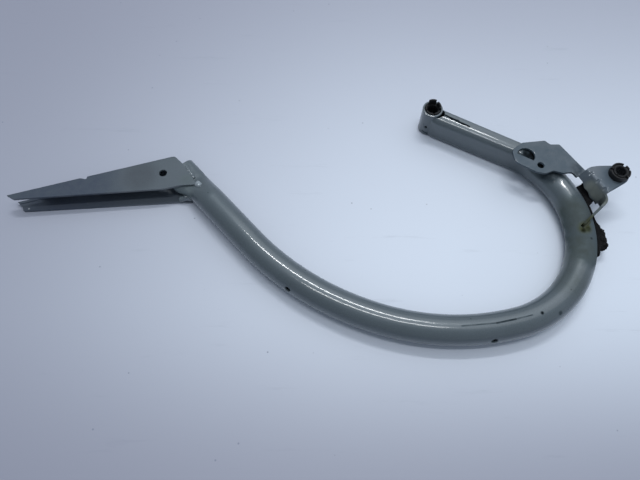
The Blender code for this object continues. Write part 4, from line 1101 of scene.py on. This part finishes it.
for share in (0.2, 0.52, 0.84):
    carve(bracket, dart_cutter(share))
fuse(bracket, 0.34, 4)
dress(
    bracket,
    painted_steel(
        "dip_painted_bracket_steel",
        "#4A5660",
        "#404952",
        marks=(
            ((264, 24, 36), 24, "#5A656E", 0.8),
            ((185, 50, 30), 34, "#4C5860", 0.5, (215, 45, 30)),
            # painted shade at the neck, where the plate turns down into the wall
            ((233, 38, 29), 9, "#333B41", 0.6),
            # painted light: the leaning wall is drawn a lighter warm grey where light falls on it
            ((241, 19, 29), 9, "#787E79", 0.95, (250, 8, 27)),
            ((246, 0, 30), 4.5, "#5B6364", 0.95, (234, -10, 28)),
            ((236, -9, 27), 4.5, "#3F4230", 0.95, (227, -17, 26)),
            ((227.2, -15.9, 26.1), 3.4, "#1E2015", 0.95),
            # painted shade at the neck's near corner
            ((230.3, 32.5, 30), 4.0, "#2C3338", 0.6),
        ),
    ),
    50,
)
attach(bracket, "arm")
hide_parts("hinge_bracket")


# The link bush: moulded in the same black nylon and snapped into the lug. Its collar has a raised rim, a
# moulded groove and four notches, and the link's pin runs in its bore.
LINK = sum(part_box("link_bush"), Vector()) / 2 / MM
LINK_SEAT = LUG_HIGH + 0.1
LINK_TOP = 41.5
COLLAR_RADIUS, LINK_BORE = 8.4, 4.4
COLLAR_NOTCHES = ((50, 2.1, 2.6), (-62, 2.0, 2.4), (165, 2.4, 2.0), (8, 1.2, 1.2))  # degrees, width, depth
STEM_LOW, STEM_RADIUS, SNAP_RADIUS = 27.3, 7.0, 7.9


def collar_top(radius, angle):
    """Height of the collar's top at a place: rim, groove, inner ring, and the notches through the rim."""
    height = LINK_TOP
    if 6.1 < radius < 7.2:
        height -= 1.1
    elif radius < 5.0:
        height -= 0.5
    for bearing, wide, deep in COLLAR_NOTCHES:
        turn = (angle - radians(bearing) + pi) % (2 * pi) - pi
        if abs(turn * radius) < wide / 2 and radius > 5.6:
            height = min(height, LINK_TOP - deep)
    away = (Vector((cos(angle), sin(angle))) * radius - Vector((-4.2, -4.2))).length
    return height - (1.2 if away < 0.75 else 0.0)


def collar_column(angle):
    radii = [LINK_BORE, 4.7, 5.0, 5.3, 5.6, 6.0, 6.2, 6.6, 7.0, 7.3, 7.7, 8.1, COLLAR_RADIUS]
    column = [(r, collar_top(r, angle)) for r in radii]
    return [(LINK_BORE, LINK_SEAT)] + column + [(COLLAR_RADIUS, LINK_SEAT)]


lug_low = LUG_HIGH - LUG_SHEET
stem_profile = [(LINK_BORE, STEM_LOW), (STEM_RADIUS - 0.2, STEM_LOW), (SNAP_RADIUS, lug_low - 1.9)]
stem_profile += [(SNAP_RADIUS, lug_low - 0.3), (STEM_RADIUS, lug_low - 0.3)]
stem_profile += [(STEM_RADIUS, LINK_SEAT + 1), (LINK_BORE, LINK_SEAT + 1)]
stem = turned("stem", lambda angle: stem_profile, LINK)
ribs = grow(
    "link_ribs",
    ribs_tree,
    {
        "Count": 6,
        "Radius": LINK_BORE * MM,
        "Width": 0.9 * MM,
        "Depth": 0.9 * MM,
        "Height": 11.5 * MM,
        "Middle": (LINK.x * MM, LINK.y * MM, 34.2 * MM),
        "Finish": nylon,
    },
)
link_bush = join("nylon_link_bush", [turned("collar", collar_column, LINK, 240), stem, ribs])
fuse(link_bush, 0.2, 2)
dress(link_bush, nylon, 60)
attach(link_bush, "link_bush")
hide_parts("link_bush")


# The foam: a strip of black anti-rattle foam, stuck to the outer side of the hook and caught under the wall
# of the bracket. It is old and torn: a thin skin with one ragged lump left on it.
FOAM_START, FOAM_END = radians(37.6), radians(76)
FOAM_THICK, FOAM_WEDGE, FOAM_LUMP = 2.5, 7.7, 8.6


def foam_ring(share, count=20):
    """One section of the torn foam: it follows the tube's skin inside and bulges outside."""
    bearing = mix(FOAM_START, FOAM_END, share)
    wedge = 1 - smooth_step((share - 0.21) / 0.09)
    lump = smooth_step((share - 0.5) / 0.28) * smooth_step((0.93 - share) / 0.11)
    ragged = 0.9 * sin(share * 31) + 0.5 * sin(share * 67 + 1)
    thick = FOAM_THICK + wedge * FOAM_WEDGE + lump * (FOAM_LUMP + ragged)
    low = radians(mix(-38, -46, lump))
    high = radians(mix(27, 16, lump))
    skin = TUBE_WIDE / 2 + 0.1
    ring = []
    for i in range(count):
        angle = mix(low, high, i / (count - 1))
        ring.append((ARCS[3][0] + skin * cos(angle), TUBE_WIDE / 2 + skin * sin(angle)))
    for i in range(count):
        angle = mix(high, low, i / (count - 1))
        bulge = skin + thick * (0.55 + 0.45 * sin(pi * (i / (count - 1) * 5 + 0.4) / 5.8))
        ring.append((ARCS[3][0] + bulge * cos(angle), max(TUBE_WIDE / 2 + bulge * sin(angle), 0.9)))
    return [(*on_hook(radius, bearing), z) for radius, z in ring]


foam = loft("torn_foam_strip", [foam_ring(i / 60) for i in range(61)])
fuse(foam, 0.5, 1)
for vertex in foam.data.vertices:
    spot = vertex.co / MM
    reach = (spot.xy - HOOK_CENTRE).length - ARCS[3][0] - TUBE_WIDE / 2
    loose = smooth_step((reach - 0.8) / 2.5)
    torn = noise.noise(spot * 0.45) + 0.6 * noise.noise(spot * 1.1 + Vector((5, 0, 0)))
    vertex.co += vertex.normal * MM * (torn * 1.1 - 0.2) * loose
    vertex.co.z = max(vertex.co.z, 0.3 * MM)


def open_cell_foam():
    """Open-cell polyurethane foam, soaked in tar and torn: dead black, with cells about 0.7 mm across."""
    made = bpy.data.materials.new("torn_open_cell_foam")
    made.use_nodes = True
    tree = made.node_tree
    shader = tree.nodes["Principled BSDF"]
    coords = add(tree, "ShaderNodeTexCoord")
    place = [("Vector", coords, "Object")]
    cells = add(tree, "ShaderNodeTexVoronoi", {"Scale": 1 / (0.7 * MM)}, place)
    crumb = add(tree, "ShaderNodeTexNoise", {"Scale": 500.0, "Detail": 5.0}, place)
    shades = {"data_type": "RGBA", 6: linear("#0A0B0C"), 7: linear("#1C1D1F")}
    tone = add(tree, "ShaderNodeMix", shades, [(0, crumb, "Fac")])
    tree.links.new(tone.outputs[2], shader.inputs["Base Color"])
    height = add(tree, "ShaderNodeMath", {"operation": "ADD"}, [(0, cells, "Distance"), (1, crumb, "Fac")])
    bump = add(tree, "ShaderNodeBump", {"Strength": 0.9, "Distance": 0.5 * MM}, [("Height", height, 0)])
    tree.links.new(bump.outputs["Normal"], shader.inputs["Normal"])
    shader.inputs["Roughness"].default_value = 0.95
    shader.inputs["Specular IOR Level"].default_value = 0.2
    return made


dress(foam, open_cell_foam(), 180)
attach(foam, "arm")
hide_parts("foam_strip")


# The welds: MIG beads laid before the parts were dipped, so they wear the same paint over their ripples. Each
# bead is a row of frozen pools, one just over the next.
def bead_tree():
    """Geometry Nodes: pools of weld metal strung between two points, each a little different."""
    tree = bpy.data.node_groups.new("weld_pools", "GeometryNodeTree")
    sockets = {"Start": "NodeSocketVector", "End": "NodeSocketVector", "Count": "NodeSocketInt"}
    sockets |= {"Width": "NodeSocketFloat", "Height": "NodeSocketFloat", "Seed": "NodeSocketInt"}
    sockets |= {"Finish": "NodeSocketMaterial"}
    for label, kind in sockets.items():
        tree.interface.new_socket(label, in_out="INPUT", socket_type=kind)
    tree.interface.new_socket("Geometry", in_out="OUTPUT", socket_type="NodeSocketGeometry")
    given = add(tree, "NodeGroupInput")
    seam = add(
        tree,
        "GeometryNodeMeshLine",
        {"mode": "END_POINTS"},
        [("Count", given, "Count"), ("Start Location", given, "Start"), ("Offset", given, "End")],
    )
    pool = add(tree, "GeometryNodeMeshIcoSphere", {"Radius": 1.0, "Subdivisions": 3})
    size = add(
        tree,
        "ShaderNodeCombineXYZ",
        links=[("X", given, "Width"), ("Y", given, "Width"), ("Z", given, "Height")],
    )
    vary = add(
        tree,
        "FunctionNodeRandomValue",
        {"data_type": "FLOAT_VECTOR", 0: (0.8, 0.8, 0.85), 1: (1.15, 1.15, 1.1)},
        [("Seed", given, "Seed")],
    )
    scale = add(tree, "ShaderNodeVectorMath", {"operation": "MULTIPLY"}, [(0, size, 0), (1, vary, 0)])
    spread = add(
        tree,
        "GeometryNodeInstanceOnPoints",
        links=[("Points", seam, 0), ("Instance", pool, 0), ("Scale", scale, 0)],
    )
    real = add(tree, "GeometryNodeRealizeInstances", links=[(0, spread, 0)])
    covered = [("Geometry", real, 0), ("Material", given, "Finish")]
    finish = add(tree, "GeometryNodeSetMaterial", links=covered)
    add(tree, "NodeGroupOutput", links=[(0, finish, 0)])
    return tree


weld_paint = painted_steel("dip_painted_weld_metal", "#5C676D", "#4A545A", rough=(0.34, 0.46))
# painted highlight: the nugget is drawn in a light grey paint, as if the lamps glinted on its round top
nugget_highlight_paint = painted_steel("weld_nugget_painted_highlight", "#98A1A7", "#717C83", rough=(0.3, 0.4))
beads_tree = bead_tree()


def weld_bead(name, node, start, end, count, wide, tall, seed, rounds, paint):
    """One bead of pools between two places in mm, eased by some rounds and painted, for its CAD node."""
    bead = grow(
        name,
        beads_tree,
        {
            "Start": Vector(start) * MM,
            "End": Vector(end) * MM,
            "Count": count,
            "Width": wide * MM,
            "Height": tall * MM,
            "Seed": seed,
            "Finish": paint,
        },
    )
    fuse(bead, 0.2, rounds)
    dress(bead, paint, 60)
    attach(bead, "arm")
    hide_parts(node)


edge_start, edge_end = Vector(FLANGE_END[0]), Vector(FLANGE_END[1])
edge_out = Vector((edge_start.y - edge_end.y, edge_end.x - edge_start.x)).normalized()


def off_edge(share):
    """A point of the bench along the sheared end of the upper flange, just off its edge."""
    return from_tip(*(edge_start.lerp(edge_end, share) + edge_out * 0.9))


first, last = (*off_edge(0.16), 16.7), (*off_edge(0.62), 16.7)
weld_bead("edge_weld_bead", "flange_weld_edge", first, last, 12, 2.2, 1.9, 5, 7, weld_paint)
first, last = (*off_edge(0.98), 18.4), (*off_edge(1.05), 18.3)
weld_bead("corner_weld_nugget", "flange_weld_corner", first, last, 3, 3.0, 2.5, 5, 7, nugget_highlight_paint)
first, last = (*from_tip(144.6, -38.5), 3.8), (*from_tip(157.4, -41.8), 6.6)
weld_bead("lower_weld_bead", "flange_weld_lower", first, last, 7, 3.1, 3.6, 5, 7, weld_paint)

burnt_paint = painted_steel(
    "burnt_weld_metal",
    "#616A62",
    "#4B5248",
    marks=(((230, -15, 25), 14, "#484B3D", 1.0), ((227.2, -15.9, 26.1), 3.0, "#191B11", 0.9)),
)
foot_run = (FOOT_LANDING - FOOT_CORNER).normalized()
beside = Vector((-foot_run.y, foot_run.x)) * 1.9
first, last = (*(FOOT_LANDING - foot_run * 8 + beside), 24.4), (*(FOOT_LANDING + beside), 24.6)
weld_bead("foot_weld_bead", "foot_weld", first, last, 9, 1.3, 1.3, 11, 3, burnt_paint)
